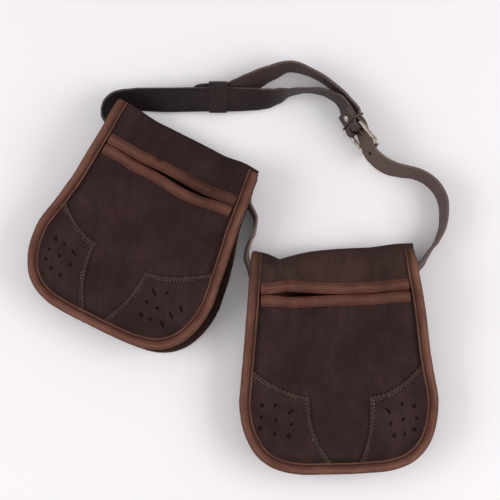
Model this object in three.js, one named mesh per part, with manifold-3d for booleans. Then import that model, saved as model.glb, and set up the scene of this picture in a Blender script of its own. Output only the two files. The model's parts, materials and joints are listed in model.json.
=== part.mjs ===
// Two flat leather pouches on one buckled hunting belt, lying on their backs.
// Millimetres, +Z up: X runs across the table, Y away from the viewer, and the floor is Z = 0.

import * as THREE from 'three';
import { mergeVertices } from 'three/addons/utils/BufferGeometryUtils.js';
import Module from 'manifold-3d';

const wasm = await Module();
wasm.setup();

// Leather thicknesses, and the clearance between sewn layers
const PANEL = 2;
const GUSSET = 1.5;
const STRIP = 1.2;
const STRAP = 3;
const GAP = 0.3;

// Pouch pattern: shares of the height and of the widest width, then millimetres
const BELLY = 0.33;
const SIDE_TAPER = 0.2;
const SIDE_BOW = 0.03;
const CORNER_POWER = { across: 4, down: 2.2 };
const BINDING_FACE = { front: 11, back: 9 };
const BINDING_UNDER = 5.5;
const BINDING_LIP = 1.5;
const BINDING_TURN = 0.5;
const SEAM_BAND = 11.6;
const FOLD_DROP = 8;
const MOUTH_DROP = 52;
const MOUTH_FACE = 10;
const MOUTH_UNDER = 5;
const MOUTH_CLEAR = 0.25;
const MOUTH_FADE = { up: MOUTH_DROP - FOLD_DROP, down: 60 };
const DEPTH = { top: 9.2, bottom: 29 };
const BACK_SAG = { depth: 1.5, share: 0.25 };
const CROWN = { height: 3, share: 0.6, start: 5, whole: 20 };
const FLANGE = { start: 0.2, end: 6.3 };
const WALL_INSET = 8.6;
const WALL_BULGE = 4;

// How the two pouches lie: `turn` in degrees, `waist` how far the left side is drawn in below the mouth,
// `gape` the place, reach and width of the mouth's gap and the share of it by which the upper lip rises,
// `ear` the lift of each top corner over the twisting belt, `slump` how far the back has slid out from
// under the front, `dip` the low place of the top fold, and `patch` how much further in each corner patch
// reaches and how much lower its holes sit.
const POUCHES = [
  {
    name: 'left', x: -167, y: -87, turn: -26, wide: 209, tall: 234, waist: 5, beltDrop: 33,
    gape: { across: 14, reach: 40, gap: 7, upper: 0.5 },
    ear: { left: 21.5, right: 22.5 }, slump: { across: 6, up: -2 }, dip: { across: 95, reach: 42, drop: 6 },
    patch: { left: 0, right: 6, lower: 5 },
  },
  {
    name: 'right', x: 96, y: -241, turn: 1.8, wide: 210, tall: 241, waist: 0, beltDrop: 29,
    gape: { across: -48, reach: 32, gap: 6.4, upper: 0.8 },
    ear: { left: 22.5, right: 21.5 }, slump: { across: 3, up: 0 }, dip: { across: -52, reach: 26, drop: 8 },
    patch: { left: 0, right: 0, lower: 0 },
  },
];

// Dents and swells of the two fronts: place, reach and height, negative for a hollow
const DENTS = {
  left: [
    { across: -20, up: 150, reach: 45, height: -3 },
    { across: 45, up: 110, reach: 40, height: 2 },
    { across: -40, up: 60, reach: 35, height: 1.5 },
  ],
  right: [
    { across: 10, up: 155, reach: 50, height: -2.5 },
    { across: -35, up: 100, reach: 40, height: 2 },
    { across: 30, up: 50, reach: 40, height: 1.5 },
  ],
};

// Corner patch, drawn for the right-hand corner: its pinked edges run from `top` on the side binding to
// the point and on to `bottom` on the bottom binding; then its punched holes
const PATCH = {
  top: 104, topPull: { across: 60, up: 80 }, point: { across: 33, up: 79 },
  sidePull: { across: 36, up: 42 }, bottom: 15, tooth: 5, toothDepth: 1.4,
};
const HOLES = [
  { across: 81, up: 74, kind: 'star', turn: 0 },
  { across: 66.5, up: 72.5, kind: 'leaf', turn: 30 },
  { across: 51, up: 66, kind: 'leaf', turn: 120 },
  { across: 80.5, up: 61, kind: 'dot', turn: 10 },
  { across: 67, up: 58, kind: 'dot', turn: 0 },
  { across: 51.5, up: 53, kind: 'dot', turn: 20 },
  { across: 77, up: 47.5, kind: 'leaf', turn: 60 },
  { across: 67, up: 43.5, kind: 'dot', turn: 40 },
  { across: 54, up: 40, kind: 'star', turn: 20 },
];
const HOLE_SHAPES = {
  star: { points: 4, outer: 4.2, inner: 1.5 },
  leaf: { points: 2, outer: 4.4, inner: 1.5 },
  dot: { points: 2, outer: 1.9, inner: 1.5 },
};

// Belt tunnel on each back: it reaches 36 each way, and the back is level over 38 each way
const TUNNEL = { wall: 1.6, reach: 36, half: 38, lift: 6.2, slack: 1.5, slope: 2.5, flange: 4 };

// Where the lifts start and are whole, measured down from the top, and where the raised corner levels out;
// then where the back is sewn fast to the front and where it slides freely
const LIFT_RISE = { ear: 140, tunnel: 105, full: 63 };
const EAR_INSIDE = 73;
const SLIDE = { sewn: 60, free: 130 };

// Belt, buckle and keeper
const BELT_HALF = 14;
const BELT_IN_TUNNEL = [
  { x: -80, z: 12.9, lean: -42 },
  { x: -62, z: 6.8, lean: -70 },
  { x: -44, z: 3.8, lean: -90 },
  { x: 0, z: 3.8, lean: -90 },
  { x: 44, z: 3.8, lean: -90 },
  { x: 62, z: 6.8, lean: -70 },
  { x: 80, z: 12.9, lean: -42 },
];
const BUCKLE = {
  x: 124.7, y: 120.6, z: 19.5, turn: -52, lean: 20, length: 30, width: 34, corner: 3, wire: 2.1,
};
const FOLD_BACK = { end: 22, start: 19, close: 9, ease: 0.8, swing: 8 };
const TONGUE_RUN = { before: 10, after: 8 };
const HOLE_PITCH = 25;
const HOLE_RADIUS = 2;
const RIVET = { behind: 14, shaft: 1.6, head: 4, crown: 2.4, rise: 1.2 };
const KEEPER = {
  x: -35.5, y: 169.2, z: 13.6, lean: 60, wall: 1.2, width: 20, room: 0.4, corner: 0.6, half: 16.2, deep: 6.8,
};
const WIRE_LOOP = { behind: 8, wire: 0.9, corner: 2, room: 0.8 };
const WIRE_SIDES = { frame: 8, loop: 6 };
const CORNER_TURNS = [0, 45, 90];
const BAR_TURNS = [-90, -45, 0, 45, 90];
const FACETS = { punch: 8, slot: 14, rivet: 12, prongQuarter: 3, prongSteps: 11 };
const PRONG = { radius: 1.4, through: 9.7, out: 3.5, beyond: 3, wrap: [300, 260, 220, 180, 140, 100, 60] };
const SPARE_HOLES = [-1, 1, 2, 3];
const TIP_SHARE = 0.7;

// Free stretches of the belt's centre line: `lean` is from upright, outwards from the loop, and `lift`
// how far the lower edge hangs clear of the floor
const TOP_STRETCH = [
  { x: 101, y: 162.5, lift: 2, lean: 10 },
  { x: 92.5, y: 169.5, lift: 0.4, lean: 1 },
  { x: 80, y: 175.3, lift: 0, lean: -3 },
  { x: 63, y: 176.8, lift: 0, lean: -8 },
  { x: 46, y: 174.8, lift: 0, lean: -2 },
  { x: 31, y: 170, lift: 0.8, lean: 20 },
  { x: 18, y: 167, lift: 2.6, lean: 36 },
  { x: 3, y: 166.5, lift: 4.2, lean: 48 },
  { x: -22, y: 166.5, lift: 5.4, lean: 59 },
  { x: -54, y: 166.5, lift: 5.6, lean: 60 },
  { x: -90, y: 166.6, lift: 3, lean: 60 },
  { x: -120, y: 167.3, lift: 0.6, lean: 51 },
  { x: -137, y: 167.3, lift: 0, lean: 36 },
  { x: -147.5, y: 166, lift: 0, lean: 27 },
  { x: -154, y: 160.5, lift: 0, lean: 21 },
  { x: -156.5, y: 152.5, lift: 0, lean: 16 },
  { x: -158.5, y: 144, lift: 0.1, lean: -5 },
];
const LINK_STRETCH = [
  { x: 0.3, y: 45, lift: 0, lean: -4 },
  { x: 6, y: 33, lift: 0, lean: -4 },
  { x: 6.3, y: 25, lift: 0, lean: -2 },
  { x: 4.5, y: 16, lift: 0, lean: 0 },
  { x: -0.7, y: 5.5, lift: 0, lean: -7 },
  { x: -3.9, y: -7, lift: 0, lean: -7 },
  { x: -2.5, y: -16, lift: 0.4, lean: -6 },
];
const RIGHT_STRETCH = [
  { x: 185.5, y: -18, lift: 0, lean: -18 },
  { x: 193.5, y: -6.5, lift: 0, lean: -5 },
  { x: 202.5, y: 6, lift: 0, lean: 2 },
  { x: 209.8, y: 22, lift: 0, lean: 6 },
  { x: 212, y: 38, lift: 0, lean: 9 },
  { x: 211, y: 53, lift: 0, lean: 11 },
  { x: 205, y: 66, lift: 0, lean: 11 },
  { x: 194.5, y: 76.5, lift: 0, lean: 11 },
  { x: 181, y: 83, lift: 0, lean: 12 },
  { x: 166, y: 85.7, lift: 0.3, lean: 16 },
  { x: 152.5, y: 89.5, lift: 1.2, lean: 20 },
];
const TONGUE_STRETCH = [
  { x: 117.5, y: 149, lift: 1.4, lean: 12 },
  { x: 108, y: 165, lift: 0.6, lean: 3 },
  { x: 92.5, y: 181, lift: 0, lean: 0 },
  { x: 73, y: 194.6, lift: 0, lean: 0 },
  { x: 45, y: 204.1, lift: 0, lean: 7 },
  { x: 25.5, y: 197.3, lift: 0.8, lean: 19 },
  { x: 8, y: 189, lift: 2.4, lean: 30 },
  { x: -5, y: 181.4, lift: 3.8, lean: 44 },
  { x: -14, y: 176.4, lift: 4.2, lean: 54 },
  { x: -23.5, y: 172.2, lift: 4.4, lean: 60 },
  { x: -62, y: 171.4, lift: 4, lean: 60 },
];

const LEATHER = { front: '#3c2b29', strip: '#5b3b31', patch: '#452f2b', belt: '#3d2e2d', back: '#38292a' };
const NICKEL = '#b5afa8';

const UP = new THREE.Vector3(0, 0, 1);
const { lerp, smoothstep, clamp, degToRad } = THREE.MathUtils;

// Solids from sheets

// A grid of points as an open surface; its rows may run together at a shared spine
function gridSurface(rows) {
  const positions = rows.flat().flatMap((point) => point.toArray());
  const columns = rows[0].length;
  const faces = [];
  for (let row = 0; row < rows.length - 1; row++) {
    for (let column = 0; column < columns - 1; column++) {
      const a = row * columns + column;
      const b = a + columns;
      faces.push(a, a + 1, b + 1, a, b + 1, b);
    }
  }
  const surface = new THREE.BufferGeometry();
  surface.setAttribute('position', new THREE.Float32BufferAttribute(positions, 3));
  surface.setIndex(faces);
  return surface;
}

// A wall of even thickness on both sides of a surface, or raised off it along its normals
function thicken(surface, thickness, raise = 0) {
  const sheet = mergeVertices(surface, 1e-3);
  sheet.computeVertexNormals();
  const place = sheet.getAttribute('position');
  const normal = sheet.getAttribute('normal');
  const positions = [];
  for (const offset of [raise + thickness / 2, raise - thickness / 2]) {
    for (let i = 0; i < place.count; i++) {
      positions.push(
        place.getX(i) + normal.getX(i) * offset,
        place.getY(i) + normal.getY(i) * offset,
        place.getZ(i) + normal.getZ(i) * offset,
      );
    }
  }
  const faces = [];
  const open = new Map();
  const under = place.count;
  const index = sheet.index.array;
  for (let i = 0; i < index.length; i += 3) {
    const [a, b, c] = [index[i], index[i + 1], index[i + 2]];
    if (a === b || b === c || c === a) continue;
    faces.push(a, b, c, c + under, b + under, a + under);
    for (const [from, to] of [[a, b], [b, c], [c, a]]) {
      if (!open.delete(`${to},${from}`)) open.set(`${from},${to}`, [from, to]);
    }
  }
  for (const [from, to] of open.values()) {
    faces.push(to, from, from + under, to, from + under, to + under);
  }
  const wall = new THREE.BufferGeometry();
  wall.setAttribute('position', new THREE.Float32BufferAttribute(positions, 3));
  wall.setIndex(faces);
  return wall;
}

function toSolid(geometry) {
  const bare = geometry.clone();
  bare.deleteAttribute('normal');
  bare.deleteAttribute('uv');
  const merged = mergeVertices(bare, 1e-4);
  return new wasm.Manifold(new wasm.Mesh({
    numProp: 3,
    vertProperties: new Float32Array(merged.getAttribute('position').array),
    triVerts: new Uint32Array(merged.index.array),
  }));
}

function fromSolid(solid) {
  const mesh = solid.getMesh();
  const geometry = new THREE.BufferGeometry();
  geometry.setAttribute('position', new THREE.Float32BufferAttribute(mesh.vertProperties, mesh.numProp));
  geometry.setIndex(Array.from(mesh.triVerts));
  return geometry;
}

function piece(name, geometry, color, finish = { roughness: 0.75, metalness: 0 }) {
  const material = new THREE.MeshStandardMaterial({ color, ...finish, flatShading: true });
  const mesh = new THREE.Mesh(geometry, material);
  mesh.name = name;
  return mesh;
}

// The lie of a pouch: how its layers stand above the floor at a place on its pattern

// Lift of the back over the belt tunnel, and of the top corners over the belt as it turns on edge
function lift(pouch, x, h) {
  const { tall, ear } = pouch;
  const tunnel = TUNNEL.lift * smoothstep(h, tall - LIFT_RISE.tunnel, tall - LIFT_RISE.full);
  const corner = clamp((Math.abs(x) - TUNNEL.half) / (EAR_INSIDE - TUNNEL.half), 0, 1);
  const height = x < 0 ? ear.left : ear.right;
  return tunnel + height * corner * smoothstep(h, tall - LIFT_RISE.ear, tall - LIFT_RISE.full);
}

// Middle of the back panel; `inside` is 0 at the seam and 1 on the pouch's centre line
function backLevel(pouch, x, h, inside) {
  const seam = STRIP + GAP + PANEL / 2;
  return seam + lift(pouch, x, h) - BACK_SAG.depth * smoothstep(inside, 0, BACK_SAG.share);
}

// Middle of the front panel and yoke: the depth of the pouch, its crown and its dents
function frontLevel(pouch, x, h, inside) {
  const seam = STRIP + GAP + PANEL / 2 + lift(pouch, x, h);
  const depth = lerp(DEPTH.bottom, DEPTH.top, smoothstep(h, BELLY * pouch.tall, pouch.tall));
  const below = 1 - smoothstep(h, pouch.tall - CROWN.whole, pouch.tall - CROWN.start);
  const slack = smoothstep(inside, 0, CROWN.share) * below;
  let swell = CROWN.height;
  for (const dent of DENTS[pouch.name]) {
    const away = Math.hypot(x - dent.across, h - dent.up) / dent.reach;
    swell += dent.height * Math.exp(-away * away);
  }
  return seam + depth + swell * slack;
}

// Stations round the rim of the pattern, from the left side at the top to the right side

function sideHalf(pouch, h) {
  const belly = BELLY * pouch.tall;
  const rise = (h - belly) / (pouch.tall - belly);
  return (pouch.wide / 2) * (1 - SIDE_TAPER * rise + SIDE_BOW * rise * rise);
}

const RIM_INSET = BINDING_LIP + STRIP / 2;
const LIP = RIM_INSET + MOUTH_CLEAR;
const ARC_STEPS = 14;
const FRONT_SHARES = [0.33, 0.67];
const SPINE_SHARES = [0, 0.3, 0.65, 1];
const FOLD_ANGLES = [60, 20, -20, -60];

// Heights of the stations down one side: yoke rows, then front rows
function sideRows(pouch) {
  const mouth = pouch.tall - MOUTH_DROP;
  const belly = BELLY * pouch.tall;
  const yoke = [pouch.tall - FOLD_DROP, mouth + LIP + SEAM_BAND, mouth + LIP];
  const below = mouth - LIP - SEAM_BAND;
  const front = [mouth - LIP, below, ...FRONT_SHARES.map((share) => lerp(below, belly, share))];
  return { yoke, front };
}

// Turns outline points into stations on the panel's cut edge, with the way in and the spine's height
function stations(pouch, outline) {
  const belly = BELLY * pouch.tall;
  return outline.map((point, k) => {
    const before = outline[Math.max(k - 1, 0)];
    const after = outline[Math.min(k + 1, outline.length - 1)];
    const along = new THREE.Vector2().subVectors(after, before).normalize();
    const inward = new THREE.Vector2(-along.y, along.x);
    const rim = point.clone().addScaledVector(inward, RIM_INSET);
    return { rim, inward, spine: Math.max(point.y, belly) };
  });
}

function waistHalf(pouch, h, sign) {
  const rise = (h / pouch.tall - BELLY) / (1 - BELLY);
  const drawn = sign < 0 ? pouch.waist * Math.sin(Math.PI * rise) ** 2 : 0;
  return sideHalf(pouch, h) - drawn;
}

function sidePoints(pouch, rows, sign) {
  return rows.map((h) => new THREE.Vector2(sign * waistHalf(pouch, h, sign), h));
}

function arcPoints(pouch) {
  const belly = BELLY * pouch.tall;
  const points = [];
  for (let i = 0; i <= ARC_STEPS; i++) {
    const angle = (Math.PI * i) / ARC_STEPS;
    const across = Math.abs(Math.cos(angle)) ** (2 / CORNER_POWER.across) * Math.sign(Math.cos(angle));
    const down = Math.sin(angle) ** (2 / CORNER_POWER.down);
    points.push(new THREE.Vector2((-across * pouch.wide) / 2, belly * (1 - down)));
  }
  return points;
}

// Points from a station's rim to the spine: the cut edge, the inner edge of the seam, then the field
function spokes(station, level, warp) {
  const edge = station.rim.clone().addScaledVector(station.inward, SEAM_BAND);
  const spine = new THREE.Vector2(0, station.spine);
  const flat = [station.rim, ...SPINE_SHARES.map((share) => edge.clone().lerp(spine, share))];
  return flat.map((point, ring) => {
    const inside = ring === 0 ? 0 : SPINE_SHARES[ring - 1];
    const placed = warp(point);
    return new THREE.Vector3(placed.x, placed.y, level(placed.x, placed.y, inside));
  });
}

// The mouth's gape pushes a lip up or down; it dies away from the mouth, and at the side seams
function gape(pouch, point, push, fade) {
  const { across, reach } = pouch.gape;
  const mouth = pouch.tall - MOUTH_DROP;
  const room = (sideHalf(pouch, mouth) - RIM_INSET - SEAM_BAND - Math.abs(point.x)) / reach;
  const away = (point.x - across) / reach;
  const lens = Math.exp(-away * away) * smoothstep(room, 0, 1);
  const near = 1 - smoothstep(Math.abs(point.y - mouth), SEAM_BAND + LIP, fade);
  return new THREE.Vector2(point.x, point.y + push * lens * near);
}

// The back slides out a little from under the front, and not at all where they are sewn together on top
function slide(pouch, point) {
  const free = 1 - smoothstep(point.y, pouch.tall - SLIDE.free, pouch.tall - SLIDE.sewn);
  return new THREE.Vector2(point.x + pouch.slump.across * free, point.y + pouch.slump.up * free);
}

// The top fold sinks at its low place, which dies away towards the mouth
function sink(pouch, point) {
  const { across, reach, drop } = pouch.dip;
  const away = (point.x - across) / reach;
  const near = smoothstep(point.y, pouch.tall - MOUTH_DROP + SEAM_BAND, pouch.tall - FOLD_DROP);
  return new THREE.Vector2(point.x, point.y - drop * Math.exp(-away * away) * near);
}

// Every ring of points that the pieces of one pouch share
function pouchLayers(pouch) {
  const { yoke, front } = sideRows(pouch);
  const lower = stations(pouch, [
    ...sidePoints(pouch, front, -1), ...arcPoints(pouch), ...sidePoints(pouch, front.toReversed(), 1),
  ]);
  const upperLeft = stations(pouch, sidePoints(pouch, yoke, -1));
  const upperRight = stations(pouch, sidePoints(pouch, yoke.toReversed(), 1));
  const frontAt = (x, h, inside) => frontLevel(pouch, x, h, inside);
  const backAt = (x, h, inside) => backLevel(pouch, x, h, inside);
  const rise = pouch.gape.gap * pouch.gape.upper;
  const fall = pouch.gape.gap - rise;
  const yokeRow = (station) => spokes(
    station, frontAt, (point) => gape(pouch, sink(pouch, point), rise, MOUTH_FADE.up),
  );
  const frontRow = (station) => spokes(
    station, frontAt, (point) => gape(pouch, point, -fall, MOUTH_FADE.down),
  );
  const backRow = (station) => spokes(station, backAt, (point) => slide(pouch, sink(pouch, point)));

  const fold = FOLD_ANGLES.map((angle) => {
    const radius = DEPTH.top / 2;
    const h = pouch.tall - PANEL / 2 - radius + radius * Math.cos(degToRad(angle));
    const share = (1 + Math.sin(degToRad(angle))) / 2;
    const level = (x, _, inside) => lerp(
      backAt(x, pouch.tall - radius, inside), frontAt(x, pouch.tall - radius, inside), share,
    );
    return { h, level };
  });
  const foldRows = (sign) => fold.map(({ h, level }) => {
    const ends = sidePoints(pouch, [h, h - 1], sign);
    const [station] = stations(pouch, ends.toSorted((a, b) => sign * (a.y - b.y)));
    return spokes({ ...station, spine: h }, level, (point) => sink(pouch, new THREE.Vector2(point.x, h)));
  });
  return {
    front: lower.map(frontRow),
    yokeLeft: upperLeft.map(yokeRow),
    yokeRight: upperRight.map(yokeRow),
    back: [...upperLeft, ...lower, ...upperRight].map(backRow),
    foldLeft: foldRows(-1),
    foldRight: foldRows(1),
  };
}

// Pieces of a pouch

// A strip folded over a cut edge: profile rows give how far in from the edge and how far out of the face
function foldedStrip(edges, facing, profile) {
  return gridSurface(seamFrames(edges, facing).map(({ edge, inward, out }) => profile.map(
    ({ into, off }) => edge.clone().addScaledVector(inward, into).addScaledVector(out, off),
  )));
}

// At each station of a seam: the cut edge, the way in along the panel, and the way out of its face
function seamFrames(edges, facing) {
  return edges.map(([edge, inner], k) => {
    const before = edges[Math.max(k - 1, 0)][0];
    const after = edges[Math.min(k + 1, edges.length - 1)][0];
    const along = new THREE.Vector3().subVectors(after, before).normalize();
    const inward = new THREE.Vector3().subVectors(inner, edge).normalize();
    const out = new THREE.Vector3().crossVectors(along, inward).normalize();
    if (out.z * facing < 0) out.negate();
    return { edge, inward, out };
  });
}

const OUTER_LEAF = PANEL / 2 + GAP + STRIP / 2;
const INNER_LEAF = PANEL / 2 + GAP + GUSSET + GAP + STRIP / 2;
const FLANGE_OFF = PANEL / 2 + GAP + GUSSET / 2;

function bindingProfile(face) {
  return [
    { into: face, off: OUTER_LEAF },
    { into: -BINDING_TURN, off: OUTER_LEAF },
    { into: -BINDING_LIP, off: (OUTER_LEAF - INNER_LEAF) / 2 },
    { into: -BINDING_TURN, off: -INNER_LEAF },
    { into: BINDING_UNDER, off: -INNER_LEAF },
  ];
}

const MOUTH_PROFILE = [
  { into: MOUTH_FACE, off: OUTER_LEAF },
  { into: -BINDING_TURN, off: OUTER_LEAF },
  { into: -BINDING_LIP, off: 0 },
  { into: -BINDING_TURN, off: -OUTER_LEAF },
  { into: MOUTH_UNDER, off: -OUTER_LEAF },
];

// The lip's edge and the row behind it, from the left seam to the right one
function lipEdges(leftRows, rightRows) {
  const across = (left, right) => [...left.slice(1), ...right.slice(1, -1).toReversed()];
  const lip = across(leftRows[0], rightRows[0]);
  const behind = across(leftRows[1], rightRows[1]);
  return lip.map((point, k) => [point, behind[k]]);
}

// The gusset: a flange under the front seam, a bulging wall, and a flange on the back seam
function gussetSurface(frontEdges, backEdges) {
  const fronts = seamFrames(frontEdges, 1);
  const backs = seamFrames(backEdges, -1);
  const at = (frame, into, off) => frame.edge.clone()
    .addScaledVector(frame.inward, into).addScaledVector(frame.out, -off);
  const turnOff = FLANGE_OFF + GUSSET;
  return gridSurface(fronts.map((front, k) => {
    const back = backs[k];
    const top = at(front, WALL_INSET, turnOff);
    const foot = at(back, WALL_INSET, turnOff);
    const wall = top.distanceTo(foot);
    const outward = front.inward.clone().add(back.inward).setZ(0).normalize().negate();
    const middle = top.clone().lerp(foot, 0.5)
      .addScaledVector(outward, WALL_BULGE * smoothstep(wall, WALL_BULGE, DEPTH.bottom - 2 * turnOff));
    return [
      at(front, FLANGE.start, FLANGE_OFF), at(front, FLANGE.end, FLANGE_OFF), top,
      middle, foot, at(back, FLANGE.end, FLANGE_OFF), at(back, FLANGE.start, FLANGE_OFF),
    ];
  }));
}

// Pinked edge along a curve: teeth point out of the patch
function pinked(curve) {
  const count = Math.round(curve.getLength() / PATCH.tooth);
  const points = [];
  for (let i = 0; i <= 2 * count; i++) {
    const at = i / (2 * count);
    const along = curve.getTangentAt(at);
    const tip = i % 2 === 1 ? PATCH.toothDepth : 0;
    points.push(curve.getPointAt(at).addScaledVector(new THREE.Vector2(along.y, -along.x), -tip));
  }
  return points;
}

function holePoints({ across, up, kind, turn }) {
  const { points, outer, inner } = HOLE_SHAPES[kind];
  const corners = [];
  for (let i = 0; i < 2 * points; i++) {
    const angle = degToRad(turn) + (Math.PI * i) / points;
    const radius = i % 2 === 0 ? outer : inner;
    corners.push(new THREE.Vector2(across + radius * Math.cos(angle), up + radius * Math.sin(angle)));
  }
  return corners;
}

// A loop of points for the right or left corner, kept counterclockwise
function mirrored(points, sign) {
  return sign > 0 ? points : points.map(({ x, y }) => new THREE.Vector2(-x, y)).toReversed();
}

// The patch's outline on the pattern, mirrored for the left corner, as a tall prism
function patchPrism(pouch, sign) {
  const inwards = sign > 0 ? pouch.patch.right : pouch.patch.left;
  const corner = ({ across, up }) => new THREE.Vector2(across - inwards, up);
  const clear = BINDING_FACE.front + 2 * GAP;
  const inset = RIM_INSET + clear + GAP;
  const rimTop = new THREE.Vector2(waistHalf(pouch, PATCH.top, sign) - inset, PATCH.top);
  const rimBottom = new THREE.Vector2(PATCH.bottom - inwards, inset + GAP);
  const top = new THREE.QuadraticBezierCurve(rimTop, corner(PATCH.topPull), corner(PATCH.point));
  const side = new THREE.QuadraticBezierCurve(corner(PATCH.point), corner(PATCH.sidePull), rimBottom);
  const rim = stations(pouch, arcPoints(pouch))
    .map((station) => station.rim.clone().addScaledVector(station.inward, clear))
    .filter((point) => point.x > PATCH.bottom && point.y < PATCH.top);
  const outline = [...pinked(top), ...pinked(side).slice(1), ...rim];
  const shape = new THREE.Shape(mirrored(outline, sign));
  shape.holes = HOLES.map(({ across, up, ...hole }) => {
    const place = { across: across - inwards, up: up - pouch.patch.lower };
    return new THREE.Path(mirrored(holePoints({ ...hole, ...place }), sign));
  });
  return new THREE.ExtrudeGeometry(shape, { depth: pouch.tall, bevelEnabled: false });
}

// Strap sewn on the back that the belt runs through, with a flange above and below the belt
function tunnelSurface(pouch) {
  const middle = pouch.tall - pouch.beltDrop;
  const room = BELT_HALF + TUNNEL.slack;
  const sewn = TUNNEL.lift - GAP - TUNNEL.wall / 2;
  const floor = TUNNEL.wall / 2;
  const profile = [
    { up: -room - TUNNEL.slope - TUNNEL.flange, z: sewn },
    { up: -room - TUNNEL.slope, z: sewn },
    { up: -room, z: floor },
    { up: room, z: floor },
    { up: room + TUNNEL.slope, z: sewn },
    { up: room + TUNNEL.slope + TUNNEL.flange, z: sewn },
  ];
  return gridSurface([-1, 0, 1].map((side) => profile.map(
    ({ up, z }) => new THREE.Vector3(side * TUNNEL.reach, middle + up, z),
  )));
}

function makePouch(pouch) {
  const { front, yokeLeft, yokeRight, back, foldLeft, foldRight } = pouchLayers(pouch);
  const frontSurface = gridSurface(front);
  const sheetRows = [
    ...yokeLeft.toReversed(), ...foldLeft, ...back, ...foldRight.toReversed(), ...yokeRight.toReversed(),
  ];
  const frontEdges = [...yokeLeft, ...front, ...yokeRight];
  const group = new THREE.Group();
  const add = (name, geometry, color) => group.add(piece(`${pouch.name}_${name}`, geometry, color));

  add('back_yoke', thicken(gridSurface(sheetRows), PANEL), LEATHER.back);
  add('front_panel', thicken(frontSurface, PANEL), LEATHER.front);
  add('gusset', thicken(gussetSurface(frontEdges, back), GUSSET), LEATHER.back);
  const frontStrip = foldedStrip(frontEdges, 1, bindingProfile(BINDING_FACE.front));
  const backStrip = foldedStrip(back, -1, bindingProfile(BINDING_FACE.back));
  add('front_binding', thicken(frontStrip, STRIP), LEATHER.strip);
  add('back_binding', thicken(backStrip, STRIP), LEATHER.strip);
  const lowerLip = lipEdges(front, front.toReversed());
  const upperLip = lipEdges(yokeLeft.toReversed(), yokeRight);
  add('mouth_band_lower', thicken(foldedStrip(lowerLip, 1, MOUTH_PROFILE), STRIP), LEATHER.strip);
  add('mouth_band_upper', thicken(foldedStrip(upperLip, 1, MOUTH_PROFILE), STRIP), LEATHER.strip);

  const overlay = toSolid(thicken(frontSurface, STRIP, -OUTER_LEAF));
  for (const [side, sign] of [['left', -1], ['right', 1]]) {
    const cut = overlay.intersect(toSolid(patchPrism(pouch, sign)));
    add(`patch_${side}`, fromSolid(cut), LEATHER.patch);
  }
  add('belt_tunnel', thicken(tunnelSurface(pouch), TUNNEL.wall), LEATHER.back);

  group.position.set(pouch.x, pouch.y, 0);
  group.rotation.z = degToRad(pouch.turn);
  return group;
}

// The belt

// Width direction of a strap that leans by an angle towards a level direction
function leaning(lean, outward) {
  return UP.clone().multiplyScalar(Math.cos(lean)).addScaledVector(outward, Math.sin(lean));
}

// Directions of the buckle: along the belt, out of the loop, across the belt, and out of the frame's face
function buckleAxes() {
  const turn = degToRad(BUCKLE.turn);
  const along = new THREE.Vector3(Math.cos(turn), Math.sin(turn), 0);
  const outward = new THREE.Vector3().crossVectors(UP, along);
  const across = leaning(degToRad(BUCKLE.lean), outward);
  const face = new THREE.Vector3().crossVectors(across, along).negate();
  if (face.dot(outward) < 0) face.negate();
  return { along, across, face, middle: new THREE.Vector3(BUCKLE.x, BUCKLE.y, BUCKLE.z) };
}

// A place by the buckle: how far along from the hinge bar, and how far out of the frame's plane
function byBuckle(along, out) {
  const axes = buckleAxes();
  return axes.middle.clone()
    .addScaledVector(axes.along, along - BUCKLE.length / 2)
    .addScaledVector(axes.face, out);
}

// A place on the strap's fold, which has swung a little on the hinge bar
function byFold(along, out) {
  const swing = degToRad(FOLD_BACK.swing);
  return byBuckle(
    along * Math.cos(swing) + out * Math.sin(swing), out * Math.cos(swing) - along * Math.sin(swing),
  );
}

// The strap's end, folded back round the hinge bar and riveted to itself
function foldRoute() {
  const radius = BUCKLE.wire + GAP + STRAP / 2;
  const flat = (STRAP + GAP) / 2;
  const { end, start, close, ease } = FOLD_BACK;
  const route = [[-end, -flat], [-close, -flat], [-close / 2, -radius + ease]];
  for (const angle of BAR_TURNS) {
    route.push([radius * Math.cos(degToRad(angle)), radius * Math.sin(degToRad(angle))]);
  }
  route.push([-close / 2, radius - ease], [-close, flat], [-start, flat]);
  const { across } = buckleAxes();
  return route.map(([along, out]) => ({ point: byFold(along, out), across }));
}

// The other end comes in under the end bar and passes out over the hinge bar
const TONGUE_OVER = BUCKLE.wire + 3 * GAP + 1.5 * STRAP;

function tongueRoute() {
  const under = -(BUCKLE.wire + GAP + STRAP / 2);
  const over = TONGUE_OVER;
  const { length } = BUCKLE;
  const { across } = buckleAxes();
  const route = [
    [length + TONGUE_RUN.before, under], [length, under], [length / 2, (under + over) / 2],
    [0, over], [-TONGUE_RUN.after, over],
  ];
  return route.map(([along, out]) => ({ point: byBuckle(along, out), across }));
}

// A free stretch: the width leans outwards from the loop, which lies left of the way the table runs
function freeRoute(rows) {
  return rows.map(({ x, y, lift: hang, lean }, k) => {
    const before = rows[Math.max(k - 1, 0)];
    const after = rows[Math.min(k + 1, rows.length - 1)];
    const along = new THREE.Vector3(after.x - before.x, after.y - before.y, 0).normalize();
    const outward = new THREE.Vector3().crossVectors(along, UP);
    const tilt = degToRad(lean);
    const rest = BELT_HALF * Math.cos(tilt) + (STRAP / 2) * Math.abs(Math.sin(tilt)) + GAP;
    return { point: new THREE.Vector3(x, y, rest + hang), across: leaning(tilt, outward) };
  });
}

// Behind a pouch the belt lies flat in the tunnel and turns up on edge towards the sides
function tunnelRoute(pouch) {
  const turn = degToRad(pouch.turn);
  const down = new THREE.Vector3(Math.sin(turn), -Math.cos(turn), 0);
  return BELT_IN_TUNNEL.map(({ x, z, lean }) => {
    const point = new THREE.Vector3(x, pouch.tall - pouch.beltDrop, z).applyAxisAngle(UP, turn);
    point.x += pouch.x;
    point.y += pouch.y;
    return { point, across: leaning(degToRad(lean), down) };
  });
}

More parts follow.
